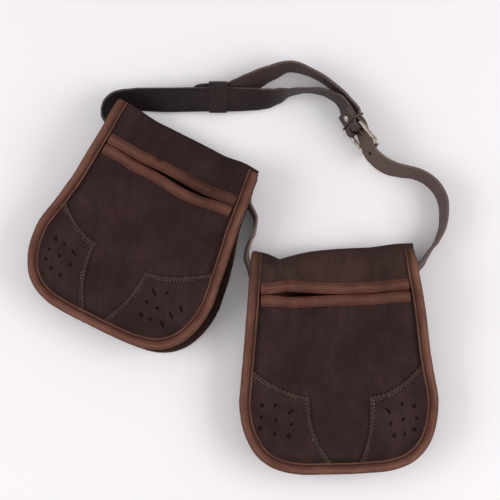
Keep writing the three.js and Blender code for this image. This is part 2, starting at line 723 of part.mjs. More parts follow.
function beltRoute() {
  return [
    ...foldRoute(), ...freeRoute(TOP_STRETCH), ...tunnelRoute(POUCHES[0]), ...freeRoute(LINK_STRETCH),
    ...tunnelRoute(POUCHES[1]), ...freeRoute(RIGHT_STRETCH), ...tongueRoute(), ...freeRoute(TONGUE_STRETCH),
  ];
}

// Frames along the belt: one at each row of the route, and one between rows where it bends
const BEND = degToRad(24);

function beltFrames() {
  const route = beltRoute();
  const curve = new THREE.CatmullRomCurve3(route.map(({ point }) => point), false, 'centripetal');
  const spans = route.length - 1;
  const frames = [];
  for (let i = 0; i <= 2 * spans; i++) {
    const at = i / 2;
    const k = Math.min(Math.floor(at), spans - 1);
    const along = curve.getTangent(at / spans);
    const bend = curve.getTangent(k / spans).angleTo(curve.getTangent((k + 1) / spans));
    if (i % 2 === 1 && bend < BEND) continue;
    const across = route[k].across.clone().lerp(route[k + 1].across, at - k);
    across.addScaledVector(along, -across.dot(along)).normalize();
    frames.push({ middle: curve.getPoint(at / spans), along, across });
  }
  return frames;
}

// The strap as a band across the frames; the tongue narrows to a blunt point at its last one
function beltSurface(frames) {
  const last = frames.length - 1;
  return gridSurface(frames.map(({ middle, across }, k) => {
    const half = k === last ? BELT_HALF * TIP_SHARE : BELT_HALF;
    return [-1, 1].map((side) => middle.clone().addScaledVector(across, side * half));
  }));
}

// Where a frame's distance along the belt lies, counted from the place where the prong goes through
function alongBelt(frames, start, distance) {
  const step = Math.sign(distance);
  let left = Math.abs(distance);
  let k = start;
  while (left > frames[k].middle.distanceTo(frames[k + step].middle)) {
    left -= frames[k].middle.distanceTo(frames[k + step].middle);
    k += step;
  }
  const share = left / frames[k].middle.distanceTo(frames[k + step].middle);
  const middle = frames[k].middle.clone().lerp(frames[k + step].middle, share);
  const along = frames[k + step].middle.clone().sub(frames[k].middle).normalize();
  const across = frames[k].across.clone().lerp(frames[k + step].across, share);
  return { middle, face: new THREE.Vector3().crossVectors(across, along).normalize() };
}

// A round cutter along a direction
function punch(middle, face, radius, depth) {
  const cutter = new THREE.CylinderGeometry(radius, radius, depth, FACETS.punch);
  cutter.applyQuaternion(new THREE.Quaternion().setFromUnitVectors(new THREE.Vector3(0, 1, 0), face));
  return toSolid(cutter.translate(middle.x, middle.y, middle.z));
}

function makeBelt() {
  const frames = beltFrames();
  const pierced = byBuckle(PRONG.through, PRONG.out);
  let belt = toSolid(thicken(beltSurface(frames), STRAP));
  const riveted = byFold(-RIVET.behind, 0);
  const rivetWay = byFold(-RIVET.behind, 1).sub(riveted);
  belt = belt.subtract(punch(riveted, rivetWay, RIVET.shaft + GAP, 3 * STRAP));
  belt = belt.subtract(toSolid(prongRod(PRONG.radius + GAP)));
  belt = belt.subtract(toSolid(prongSlot()));
  const nearest = frames.reduce((best, frame, k) => {
    const closer = frame.middle.distanceTo(pierced) < frames[best].middle.distanceTo(pierced);
    return k > frames.length / 2 && closer ? k : best;
  }, frames.length - 1);
  for (const count of SPARE_HOLES) {
    const { middle, face } = alongBelt(frames, nearest, count * HOLE_PITCH);
    belt = belt.subtract(punch(middle, face, HOLE_RADIUS, 2 * STRAP));
  }
  return piece('belt', fromSolid(belt), LEATHER.belt, { roughness: 0.5, metalness: 0 });
}

// The buckle and keeper

// Sets a geometry drawn along X, down the belt's width along Y and out along Z at the hinge bar
function setByBuckle(geometry) {
  const { along, across, face } = buckleAxes();
  const place = new THREE.Matrix4().makeBasis(along, across.negate(), face).setPosition(byBuckle(0, 0));
  geometry.applyMatrix4(place);
  return geometry;
}

// Round wire bent round the four corners of a rectangle in the XY plane, and soldered into a ring
function wireRing({ near, far, half, corner, wire }, sides) {
  const right = far - corner;
  const left = near + corner;
  const top = half - corner;
  const corners = [[right, top, 0], [left, top, 90], [left, -top, 180], [right, -top, 270]];
  const sections = corners.flatMap(([x, y, start]) => CORNER_TURNS.map((step) => {
    const angle = degToRad(start + step);
    const outward = new THREE.Vector3(Math.cos(angle), Math.sin(angle), 0);
    const middle = new THREE.Vector3(x, y, 0).addScaledVector(outward, corner);
    return Array.from({ length: sides + 1 }, (_, side) => {
      const turn = (2 * Math.PI * side) / sides;
      return middle.clone()
        .addScaledVector(outward, -wire * Math.cos(turn)).addScaledVector(UP, wire * Math.sin(turn));
    });
  }));
  return mergeVertices(gridSurface([...sections, sections[0]]), 1e-3);
}

function makeFrame() {
  const { length, width, corner, wire } = BUCKLE;
  const ring = wireRing({ near: 0, far: length, half: width / 2, corner, wire }, WIRE_SIDES.frame);
  return piece('buckle_frame', setByBuckle(ring), NICKEL, { roughness: 0.3, metalness: 1 });
}

// A loop of thin wire behind the hinge bar, round the strap's fold and the tongue end
function makeLoop() {
  const { behind, wire, corner, room } = WIRE_LOOP;
  const swing = degToRad(FOLD_BACK.swing);
  const clear = room + wire;
  const tongueFace = TONGUE_OVER * Math.cos(swing) - behind * Math.sin(swing) + STRAP / 2;
  const loop = {
    near: -(STRAP + GAP / 2 + clear), far: tongueFace + clear, half: BELT_HALF + clear, corner, wire,
  };
  const ring = wireRing(loop, WIRE_SIDES.loop);
  ring.rotateY(-Math.PI / 2).translate(-behind, 0, 0).rotateY(swing);
  return piece('wire_loop', setByBuckle(ring), NICKEL, { roughness: 0.3, metalness: 1 });
}

// The prong wraps the hinge bar, passes through the tongue and rests its tip on the end bar
function prongRoute() {
  const wrap = BUCKLE.wire + GAP + PRONG.radius;
  const points = PRONG.wrap.map((angle) => new THREE.Vector3(
    wrap * Math.cos(degToRad(angle)), 0, wrap * Math.sin(degToRad(angle)),
  ));
  points.push(new THREE.Vector3(PRONG.through, 0, PRONG.out));
  points.push(new THREE.Vector3(BUCKLE.length, 0, wrap));
  points.push(new THREE.Vector3(BUCKLE.length + PRONG.beyond, 0, wrap));
  return new THREE.CatmullRomCurve3(points, false, 'centripetal');
}

function prongRod(radius) {
  const section = new THREE.Shape();
  section.absarc(0, 0, radius, 0, 2 * Math.PI);
  const path = { extrudePath: prongRoute(), steps: FACETS.prongSteps, curveSegments: FACETS.prongQuarter };
  return setByBuckle(new THREE.ExtrudeGeometry(section, path));
}

function makeProng() {
  return piece('buckle_prong', prongRod(PRONG.radius), NICKEL, { roughness: 0.3, metalness: 1 });
}

// Slot in the strap's fold that lets the prong through
function prongSlot() {
  const reach = BUCKLE.wire + GAP + STRAP + GAP;
  const wide = 2 * (PRONG.radius + 2 * GAP);
  return setByBuckle(new THREE.CylinderGeometry(reach, reach, wide, FACETS.slot));
}

function makeRivet() {
  const { shaft, head, crown, rise } = RIVET;
  const face = STRAP + GAP / 2 + GAP;
  const profile = [
    [0, -face - rise], [crown, -face - rise], [head, -face], [shaft, -face],
    [shaft, face], [head, face], [crown, face + rise], [0, face + rise],
  ].map(([radius, level]) => new THREE.Vector2(radius, level));
  const rivet = new THREE.LatheGeometry(profile, FACETS.rivet);
  rivet.rotateX(Math.PI / 2);
  rivet.translate(-RIVET.behind, 0, 0).rotateY(degToRad(FOLD_BACK.swing));
  return piece('rivet', setByBuckle(rivet), NICKEL, { roughness: 0.35, metalness: 1 });
}

// Leather loop round the belt and its tongue end: a flat ring with round corners
function makeKeeper() {
  const { wall, width, room, corner } = KEEPER;
  const lean = degToRad(KEEPER.lean);
  const outward = new THREE.Vector3(0, 1, 0);
  const across = leaning(lean, outward);
  const along = new THREE.Vector3(-1, 0, 0);
  const face = new THREE.Vector3().crossVectors(along, across);
  const loop = (grow) => [
    [-KEEPER.half - grow, -KEEPER.deep / 2 - grow], [KEEPER.half + grow, -KEEPER.deep / 2 - grow],
    [KEEPER.half + grow, KEEPER.deep / 2 + grow], [-KEEPER.half - grow, KEEPER.deep / 2 + grow],
  ];
  const rounded = (points, cut) => points.flatMap(([x, y]) => {
    const inX = -Math.sign(x) * cut;
    const inY = -Math.sign(y) * cut;
    const pair = [new THREE.Vector2(x + inX, y), new THREE.Vector2(x, y + inY)];
    return x * y > 0 ? pair.toReversed() : pair;
  });
  const shape = new THREE.Shape(rounded(loop(room + wall), corner + wall));
  shape.holes = [new THREE.Path(rounded(loop(room), corner))];
  const ring = new THREE.ExtrudeGeometry(shape, { depth: width, bevelEnabled: false });
  ring.translate(0, 0, -width / 2);
  const place = new THREE.Matrix4().makeBasis(across, face, new THREE.Vector3().crossVectors(across, face));
  ring.applyMatrix4(place.setPosition(KEEPER.x, KEEPER.y, KEEPER.z));
  return piece('keeper', ring, LEATHER.belt, { roughness: 0.5, metalness: 0 });
}

const inner = new THREE.Group();
for (const pouch of POUCHES) inner.add(makePouch(pouch));
inner.add(makeBelt(), makeFrame(), makeProng(), makeLoop(), makeRivet(), makeKeeper());

const object = new THREE.Group();
object.add(inner);
const box = new THREE.Box3().setFromObject(inner, true);
inner.position.set(-(box.min.x + box.max.x) / 2, -(box.min.y + box.max.y) / 2, -box.min.z);

export default object;
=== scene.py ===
import json
import math

import bpy
import numpy as np
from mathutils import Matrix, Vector, noise
from mathutils.geometry import delaunay_2d_cdt

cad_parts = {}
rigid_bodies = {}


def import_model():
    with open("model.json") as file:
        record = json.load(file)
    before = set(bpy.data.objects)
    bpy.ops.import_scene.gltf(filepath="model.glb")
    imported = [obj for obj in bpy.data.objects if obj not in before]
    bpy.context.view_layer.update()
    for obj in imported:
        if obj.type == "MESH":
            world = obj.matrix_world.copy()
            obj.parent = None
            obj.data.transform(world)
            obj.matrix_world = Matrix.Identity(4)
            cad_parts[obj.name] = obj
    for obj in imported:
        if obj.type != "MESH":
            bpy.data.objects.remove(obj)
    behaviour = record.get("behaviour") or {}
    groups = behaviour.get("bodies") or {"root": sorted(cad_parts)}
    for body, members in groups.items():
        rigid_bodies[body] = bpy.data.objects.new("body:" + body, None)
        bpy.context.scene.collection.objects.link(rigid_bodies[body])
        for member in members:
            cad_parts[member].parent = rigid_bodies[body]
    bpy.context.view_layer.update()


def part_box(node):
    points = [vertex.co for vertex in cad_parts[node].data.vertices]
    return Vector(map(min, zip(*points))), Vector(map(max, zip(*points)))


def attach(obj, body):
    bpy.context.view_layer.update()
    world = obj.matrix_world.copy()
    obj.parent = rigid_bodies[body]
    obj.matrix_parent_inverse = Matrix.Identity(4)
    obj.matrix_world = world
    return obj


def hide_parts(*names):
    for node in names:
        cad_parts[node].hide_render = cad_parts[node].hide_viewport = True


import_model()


# Back and yoke: one hide of dark oiled nubuck for each pouch. It is the back, turns over in a soft fold
# at the top and comes down in front as the yoke, whose lower edge is the upper lip of the slit mouth.

PANEL, STRIP, GAP = 2.0, 1.2, 0.3  # hide, strip, and the air between sewn layers, in millimetres as all sizes
SEAM = STRIP + GAP + PANEL / 2  # height of the back's seam over the table
BELLY = 0.33  # where up its height the pouch is widest
RIM_INSET = 2.1  # from the finished outline in to the cut edge
SEAM_BAND = 11.6  # width of a sewn seam
LIP = 2.35  # from the middle of the slit mouth to each lip
MOUTH_DROP = 52  # from the top down to the mouth
FOLD_RADIUS = 4.6
FOLD_TURN = math.pi * FOLD_RADIUS
DEPTH_TOP, DEPTH_BOTTOM = 9.2, 29.0
SWELL = 3.0  # how far the front stands out in its middle
TUNNEL_RISE = 6.2  # how far the belt tunnel lifts the back
NOTCH = 0.1  # softness of the low place in the top fold
HOLLOW = np.array([7.0, 6.0])  # reach of the shade in that low place
HIDE_STEP = 2.6  # size of the triangles that a hide is made of
POUCHES = [
    dict(
        name="left", x=-167, y=-87, turn=-26, wide=209, tall=234, waist=5, belt_drop=33,
        gape=dict(across=16, reach=38, rise=1.9, fall=1.9, sag=3.0), ear=(21.5, 22.5), slump=(6, 1),
        dip=dict(across=95, reach=(52, 52), drop=6.5, shade=0), yoke_rub=0.0, mouth_soil=0.4,
        dents=[(-20, 150, 45, -3), (45, 110, 40, 2), (-40, 60, 35, 1.5)],
    ),
    dict(
        name="right", x=96, y=-241, turn=1.8, wide=210, tall=241, waist=0, belt_drop=29,
        gape=dict(across=-48, reach=32, rise=4.2, fall=1.0, sag=0), ear=(22.5, 21.5), slump=(3, 0),
        dip=dict(across=-57, reach=(20, 22), drop=12, shade=0.75), yoke_rub=0.35, mouth_soil=0.0,
        dents=[(10, 155, 50, -2.5), (-35, 100, 40, 2), (30, 50, 40, 1.5)],
    ),
]


def flat_place(pouch, x, h):
    """Where a place of the pouch's pattern lies on the table."""
    turn = math.radians(pouch["turn"])
    return np.array([
        pouch["x"] + x * math.cos(turn) - h * math.sin(turn),
        pouch["y"] + x * math.sin(turn) + h * math.cos(turn),
    ])


# The pattern's table and the frame differ by one shift, read from where the right belt tunnel lies
low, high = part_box("right_belt_tunnel")
tunnel_spot = flat_place(POUCHES[1], 0, POUCHES[1]["tall"] - POUCHES[1]["belt_drop"])
SHIFT = np.append((np.array(low + high)[:2] / 2) * 1000 - tunnel_spot, 0)


def smooth(value, start, end):
    """Eases from 0 at the start to 1 at the end."""
    share = np.clip((value - start) / (end - start), 0, 1)
    return share * share * (3 - 2 * share)


def side_half(pouch, h, sign):
    """Half width of the pattern at a height; the left side is drawn in a little at the waist."""
    rise = (h / pouch["tall"] - BELLY) / (1 - BELLY)
    drawn = np.where(sign < 0, pouch["waist"] * np.sin(np.pi * np.clip(rise, 0, 1)) ** 2, 0)
    return pouch["wide"] / 2 * (1 - 0.2 * rise + 0.03 * rise ** 2) - drawn


def unit(ways):
    """Each row as a direction of length one."""
    return ways / np.linalg.norm(ways, axis=1)[:, None]


def left_of(line):
    """The way to the left of a flat line, at each of its points."""
    along = unit(np.gradient(line, axis=0))
    return np.stack([-along[:, 1], along[:, 0]], 1)


def run_along(points):
    """How far along a line each of its points is."""
    return np.append(0, np.cumsum(np.linalg.norm(np.diff(points, axis=0), axis=1)))


def even_steps(points, step):
    """The same line with points at even distances."""
    run = run_along(points)
    at = np.linspace(0, run[-1], max(2, round(run[-1] / step) + 1))
    return np.stack([np.interp(at, run, points[:, k]) for k in range(points.shape[1])], 1)


def rim_line(pouch, top, step=2.0):
    """The cut edge from the left side at a height, round the bottom and up the right side; and its way in."""
    belly = BELLY * pouch["tall"]
    heights = np.linspace(top, belly, 60)
    angle = np.linspace(0, np.pi, 400)[1:-1]
    arc = np.stack([
        -np.sign(np.cos(angle)) * np.abs(np.cos(angle)) ** 0.5 * pouch["wide"] / 2,
        belly * (1 - np.sin(angle) ** (2 / 2.2)),
    ], 1)
    left = np.stack([-side_half(pouch, heights, -1), heights], 1)
    right = np.stack([side_half(pouch, heights, 1), heights], 1)[::-1]
    outline = even_steps(np.concatenate([left, arc, right]), step)
    inward = left_of(outline)
    return outline + inward * RIM_INSET, inward


def inside_share(pouch, x, h):
    """0 at the inner edge of the side and bottom seam, 1 on the middle line."""
    belly = BELLY * pouch["tall"]
    edge = side_half(pouch, np.maximum(h, belly), x) - RIM_INSET - SEAM_BAND
    above = 1 - np.abs(x) / edge
    rim, inward = rim_line(pouch, belly)
    seam = rim + inward * SEAM_BAND
    bearing = np.arctan2(seam[:, 0], belly - seam[:, 1])
    order = np.argsort(bearing)
    reach = np.interp(np.arctan2(x, belly - h), bearing[order], np.hypot(*(seam - [0, belly]).T)[order])
    below = 1 - np.hypot(x, belly - h) / reach
    return np.clip(np.where(h >= belly, above, below), 0, 1)


def lift(pouch, x, h):
    """The back rises over the belt tunnel, and its top corners over the belt as it turns on edge."""
    tall = pouch["tall"]
    tunnel = TUNNEL_RISE * smooth(h, tall - 105, tall - 63)
    corner = np.where(x < 0, *pouch["ear"]) * smooth(np.abs(x), 38, 73)
    return tunnel + corner * smooth(h, tall - 140, tall - 63)


def back_level(pouch, x, h, inside):
    """Height of the back's middle layer over the table; inside the seam it settles on the table."""
    return SEAM + lift(pouch, x, h) - 1.5 * smooth(inside, 0, 0.25)


def front_level(pouch, x, h, inside):
    """Height of the front's middle layer: deepest at the bottom, swollen and dented where it is slack."""
    tall = pouch["tall"]
    depth = DEPTH_BOTTOM + (DEPTH_TOP - DEPTH_BOTTOM) * smooth(h, BELLY * tall, tall)
    swell = SWELL + sum(
        height * np.exp(-((x - across) ** 2 + (h - up) ** 2) / reach ** 2)
        for across, up, reach, height in pouch["dents"]
    )
    slack = smooth(inside, 0, 0.6) * (1 - smooth(h, tall - 20, tall - 5))
    return SEAM + lift(pouch, x, h) + depth + swell * slack


def ripple(x, h, seed, length, height):
    """Soft unevenness of hand-cut leather, from noise with a given wavelength."""
    return height * np.array([
        noise.noise(Vector((a / length, b / length, seed))) for a, b in zip(x, h)
    ])


def gape(pouch, x, h, push, fade):
    """The lips part at one place of the mouth and sag to its right; both die away from the mouth."""
    mouth = pouch["tall"] - MOUTH_DROP
    lens = np.exp(-((x - pouch["gape"]["across"]) / pouch["gape"]["reach"]) ** 2)
    room = side_half(pouch, mouth, 1) - RIM_INSET - SEAM_BAND - np.abs(x)
    lens = lens * smooth(room / pouch["gape"]["reach"], 0, 1)
    sag = pouch["gape"]["sag"] * smooth(x, -20, 32)
    return h + (push * lens - sag) * (1 - smooth(np.abs(h - mouth), SEAM_BAND + LIP, fade))


def sink(pouch, x, h):
    """The top fold sags towards a soft notch at its low place."""
    dip, tall = pouch["dip"], pouch["tall"]
    near = smooth(h, tall - MOUTH_DROP + SEAM_BAND, tall - 8)
    away = (x - dip["across"]) / np.where(x < dip["across"], *dip["reach"])
    return h - dip["drop"] * np.exp(NOTCH - np.hypot(away, NOTCH)) * near


def on_yoke(pouch, x, h, inside):
    """Where a place of the pattern comes to lie on the yoke."""
    h = gape(pouch, x, sink(pouch, x, h), pouch["gape"]["rise"], MOUTH_DROP - 8)
    return np.stack([x, h, front_level(pouch, x, h, inside)], 1)


def on_back(pouch, x, h, inside):
    """Where a place of the pattern comes to lie on the back, which has slumped a little to one side."""
    h = sink(pouch, x, h)
    free = 1 - smooth(h, pouch["tall"] - 130, pouch["tall"] - 60)
    x, h = x + pouch["slump"][0] * free, h + pouch["slump"][1] * free
    return np.stack([x, h, back_level(pouch, x, h, inside)], 1)


def lay_down(pouch, points):
    """From the pouch's own pattern to where it lies on the table."""
    turn = math.radians(pouch["turn"])
    spin = np.array([[math.cos(turn), -math.sin(turn), 0], [math.sin(turn), math.cos(turn), 0], [0, 0, 1]])
    return points @ spin.T + [pouch["x"], pouch["y"], 0] + SHIFT


def in_loops(points, loops):
    """Even-odd test of points against closed loops."""
    inside = np.zeros(len(points), bool)
    for loop in loops:
        for a, b in zip(loop, np.roll(loop, -1, 0)):
            if a[1] == b[1]:
                continue
            spans = (points[:, 1] > min(a[1], b[1])) & (points[:, 1] <= max(a[1], b[1]))
            cross = a[0] + (points[:, 1] - a[1]) * (b[0] - a[0]) / (b[1] - a[1])
            inside ^= spans & (points[:, 0] < cross)
    return inside


def edge_distance(points, line):
    """Distance from each point to a line of points."""
    best = np.full(len(points), 1e9)
    for a, b in zip(line[:-1], line[1:]):
        way = b - a
        share = np.clip((points - a) @ way / max(way @ way, 1e-9), 0, 1)
        best = np.minimum(best, np.linalg.norm(points - a - share[:, None] * way, axis=1))
    return best


def cut_out(loops, step):
    """A flat piece cut along its outline and holes, filled with even triangles."""
    outline = loops[0]
    low, high = outline.min(0), outline.max(0)
    row_step = 0.866 * step
    rows = np.arange(low[1], high[1], row_step)
    starts = low[0] + step / 2 * (np.arange(len(rows)) % 2)
    grid = np.concatenate([
        np.stack(np.broadcast_arrays(np.arange(start, high[0], step), row), 1)
        for start, row in zip(starts, rows)
    ])
    grid = grid[in_loops(grid, loops)]
    for loop in loops:
        grid = grid[edge_distance(grid, np.append(loop, loop[:1], 0)) > 0.6 * step]
    edges, start = [], 0
    for loop in loops:
        edges += [(start + k, start + (k + 1) % len(loop)) for k in range(len(loop))]
        start += len(loop)
    flat = [Vector(point) for point in np.concatenate([*loops, grid])]
    spots, _, faces, *_ = delaunay_2d_cdt(flat, edges, [], 0, 1e-6)
    spots, faces = np.array(spots), np.array(faces)
    faces = faces[in_loops(spots[faces].mean(1), loops)]
    a, b, c = spots[faces[:, 0]], spots[faces[:, 1]], spots[faces[:, 2]]
    turned = (b[:, 0] - a[:, 0]) * (c[:, 1] - a[:, 1]) < (b[:, 1] - a[:, 1]) * (c[:, 0] - a[:, 0])
    faces[turned] = faces[turned][:, ::-1]
    used, faces = np.unique(faces, return_inverse=True)
    return spots[used], faces.reshape(-1, 3)


def normals_of(points, faces):
    """The way out of a surface at each of its points."""
    a, b, c = (points[faces[:, k]] for k in range(3))
    face = np.cross(b - a, c - a)
    total = np.zeros_like(points)
    for k in range(3):
        np.add.at(total, faces[:, k], face)
    return unit(total)


def thicken(points, faces, thickness, raised=0.0):
    """Gives a cut sheet its thickness: an upper skin, a lower skin and the cut edge between them."""
    normal = normals_of(points, faces)
    if np.ndim(raised):
        raised = raised[:, None]
    upper = points + normal * (raised + thickness / 2)
    lower = points + normal * (raised - thickness / 2)
    count = len(points)
    sides = {}
    for a, b, c in faces.tolist():
        for pair in ((a, b), (b, c), (c, a)):
            if pair[::-1] in sides:
                del sides[pair[::-1]]
            else:
                sides[pair] = True
    rim = [(b, a, a + count, b + count) for a, b in sides]
    return np.concatenate([upper, lower]), faces.tolist() + (faces[:, ::-1] + count).tolist() + rim


def make_piece(name, points, faces, material, lay=None, sharp=45):
    """A mesh piece in metres; `lay` is each point's place along and across the strip, in millimetres."""
    mesh = bpy.data.meshes.new(name)
    mesh.from_pydata((np.asarray(points) / 1000).tolist(), [], faces)
    if lay is not None:
        corner = np.empty(len(mesh.loops), int)
        mesh.loops.foreach_get("vertex_index", corner)
        mesh.uv_layers.new(name="lay").data.foreach_set("uv", (lay[corner] / 1000).ravel())
    mesh.materials.append(material)
    mesh.shade_smooth()
    mesh.set_sharp_from_angle(angle=math.radians(sharp))
    piece = bpy.data.objects.new(name, mesh)
    bpy.context.scene.collection.objects.link(piece)
    return piece


def mark(piece, name, values):
    """Keeps a value from 0 to 1 at each point of a piece, for its material to read."""
    layer = piece.data.attributes.new(name, "FLOAT", "POINT")
    layer.data.foreach_set("value", np.asarray(values, np.float32))


def colour(code):
    """An sRGB hex colour as linear red, green, blue and alpha."""
    parts = [int(code[k:k + 2], 16) / 255 for k in (1, 3, 5)]
    return [c / 12.92 if c <= 0.04045 else ((c + 0.055) / 1.055) ** 2.4 for c in parts] + [1]


def add(tree, kind, sockets=None, stops=(), **settings):
    """Adds a node: settings by name, a ramp's stops, sockets by name or number with a value or an output."""
    node = tree.nodes.new(kind)
    for name, value in settings.items():
        setattr(node, name, value)
    if stops:
        ramp = node.color_ramp.elements
        for element, (position, tint) in zip((ramp[0], ramp[1]), (stops[0], stops[-1])):
            element.position, element.color = position, tint
        for position, tint in stops[1:-1]:
            ramp.new(position).color = tint
    for name, value in (sockets or {}).items():
        if isinstance(value, bpy.types.NodeSocket):
            tree.links.new(value, node.inputs[name])
        else:
            node.inputs[name].default_value = value
    return node


def new_material(name):
    """An empty material, its node tree and its shader."""
    material = bpy.data.materials.new(name)
    material.use_nodes = True
    tree = material.node_tree
    return material, tree, tree.nodes["Principled BSDF"]


def tint_over(tree, below, value_name, code, pattern=None):
    """Lays a colour over another as far as a value of the piece says, broken up by a pattern if one is given.
    """
    # Used to lay painted highlight, painted shade, wear and other darkening over a piece's own colour.
    amount = add(tree, "ShaderNodeAttribute", attribute_name=value_name).outputs["Fac"]
    if pattern is not None:
        amount = add(tree, "ShaderNodeMath", {0: amount, 1: pattern}, operation="MULTIPLY").outputs[0]
    return add(tree, "ShaderNodeMix", {0: amount, 6: below, 7: colour(code)}, data_type="RGBA").outputs[2]


def oiled_hide(name, dark, mid, light, worn):
    """Oiled nubuck: a brushed, matt face; the eye sees cloudy patches of darker oil and lighter nap."""
    material, tree, shader = new_material(name)
    place = add(tree, "ShaderNodeTexCoord").outputs["Object"]
    # Clouds of 38 mm, nap brushed out to 6 by 20 mm, and a grain drawn coarse, at 1.6 mm, so that it shows
    cloud = add(tree, "ShaderNodeTexNoise", {
        "Vector": place, "Scale": 1 / 0.038, "Detail": 3, "Roughness": 0.6,
    }).outputs["Fac"]
    brushed = add(tree, "ShaderNodeMapping", {"Vector": place, "Scale": (1, 0.3, 1)}).outputs[0]
    nap = add(tree, "ShaderNodeTexNoise", {
        "Vector": brushed, "Scale": 1 / 0.006, "Detail": 4, "Roughness": 0.65,
    }).outputs["Fac"]
    grain = add(tree, "ShaderNodeTexNoise", {
        "Vector": place, "Scale": 1 / 0.0016, "Detail": 2,
    }).outputs["Fac"]
    mixed = add(tree, "ShaderNodeMix", {0: 0.38, 2: cloud, 3: nap}, data_type="FLOAT").outputs[0]
    tone = add(tree, "ShaderNodeValToRGB", {"Fac": mixed}, stops=[
        (0.3, colour(dark)), (0.5, colour(mid)), (0.72, colour(light)),
    ]).outputs[0]
    # Over the tone: a paler colour for wear and painted highlight, then a near-black for painted shade and
    # other darkening.
    paler = tint_over(tree, tone, "wear_and_highlight", worn, nap)
    tree.links.new(tint_over(tree, paler, "shade_and_darkening", "#1a0c0c"), shader.inputs["Base Color"])
    rough = add(tree, "ShaderNodeMapRange", {"Value": cloud, 1: 0.3, 2: 0.7, 3: 0.8, 4: 0.66})
    tree.links.new(rough.outputs[0], shader.inputs["Roughness"])
    relief = add(tree, "ShaderNodeMix", {0: 0.45, 2: nap, 3: grain}, data_type="FLOAT").outputs[0]
    bump = add(tree, "ShaderNodeBump", {"Strength": 0.5, "Distance": 0.0005, "Height": relief})
    tree.links.new(bump.outputs[0], shader.inputs["Normal"])
    shader.inputs["Specular IOR Level"].default_value = 0.15
    return material


nubuck = oiled_hide("oiled_nubuck", "#221313", "#2d1b1a", "#392422", "#5a433c")


def fold_start(pouch):
    """How far up the hide the back begins to turn over."""
    return pouch["tall"] - PANEL / 2 - FOLD_RADIUS


def yoke_places(pouch, spots):
    """Folds the flat hide: back, then the roll over the top, then down the yoke."""
    x, s = spots.T
    start = fold_start(pouch)
    back_h, yoke_h = np.minimum(s, start), np.minimum(start - (s - start - FOLD_TURN), start)
    inside = inside_share(pouch, x, np.where(s > start, yoke_h, back_h))
    back, yoke = on_back(pouch, x, back_h, inside), on_yoke(pouch, x, yoke_h, inside)
    angle = np.clip((s - start) / FOLD_TURN, 0, 1) * math.pi - math.pi / 2
    share = (1 + np.sin(angle)) / 2
    roll = back + (yoke - back) * share[:, None]
    roll[:, 1] += FOLD_RADIUS * np.cos(angle)
    turned = np.where((s >= start + FOLD_TURN)[:, None], yoke, roll)
    placed = np.where((s <= start)[:, None], back, turned)
    uneven = ripple(x, s, 3.1, 34, 0.9) + ripple(x, s, 7.7, 11, 0.3)
    placed[:, 2] += np.where(s > start, uneven, 0) * smooth(inside, 0, 0.3)
    return placed


for pouch in POUCHES:
    start = fold_start(pouch)
    lip = pouch["tall"] - MOUTH_DROP + LIP
    rim, _ = rim_line(pouch, start, HIDE_STEP)
    unrolled = np.linspace(start, start + FOLD_TURN + start - lip, 24)[1:]
    folded_h = np.where(unrolled > start + FOLD_TURN, start - (unrolled - start - FOLD_TURN), start)
    right = np.stack([side_half(pouch, folded_h, 1) - RIM_INSET, unrolled], 1)
    left = np.stack([-side_half(pouch, folded_h, -1) + RIM_INSET, unrolled], 1)
    mouth_edge = even_steps(np.stack([right[-1], left[-1]]), HIDE_STEP)
    outline = np.concatenate([rim, right, mouth_edge[1:-1], left[::-1]])
    spots, faces = cut_out([outline], HIDE_STEP)
    placed = lay_down(pouch, yoke_places(pouch, spots))
    points, faces = thicken(placed, faces[:, ::-1], PANEL)
    hide = make_piece(pouch["name"] + "_back_and_yoke_hide", points, faces, nubuck)
    # The left pouch's yoke is darker from the fold down; painted shade lies in the right pouch's low place of
    # the top fold.
    darker_part = pouch["mouth_soil"] * 0.5 * smooth(spots[:, 1], start, start + FOLD_TURN)
    low_place = [pouch["dip"]["across"] - 10, start + FOLD_TURN + 3]
    hollow = pouch["dip"]["shade"] * np.exp(-(((spots - low_place) / HOLLOW) ** 2).sum(1))
    mark(hide, "shade_and_darkening", np.tile(np.maximum(darker_part, hollow), 2))
    mark(hide, "wear_and_highlight", np.tile(pouch["yoke_rub"] * smooth(spots[:, 1], start, start + 2 * FOLD_TURN), 2))
    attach(hide, "root")
    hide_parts(pouch["name"] + "_back_yoke")


# Front panel: a second piece of the same nubuck, cut to the round-cornered pattern. Its upper edge is the
# lower lip of the mouth, and its sides and bottom are sewn into the binding.

FRONT_STEP = 2.2
PUNCH_SHADE = 5.0  # how far the painted shade of a punched hole spreads on the front below it


def on_front(pouch, x, h, inside):
    """Where a place of the pattern comes to lie on the front."""
    h = gape(pouch, x, h, -pouch["gape"]["fall"], 60)
    uneven = ripple(x, h, 1.3, 42, 1.1) + ripple(x, h, 5.9, 13, 0.3)
    return np.stack([x, h, front_level(pouch, x, h, inside) + uneven * smooth(inside, 0, 0.3)], 1)


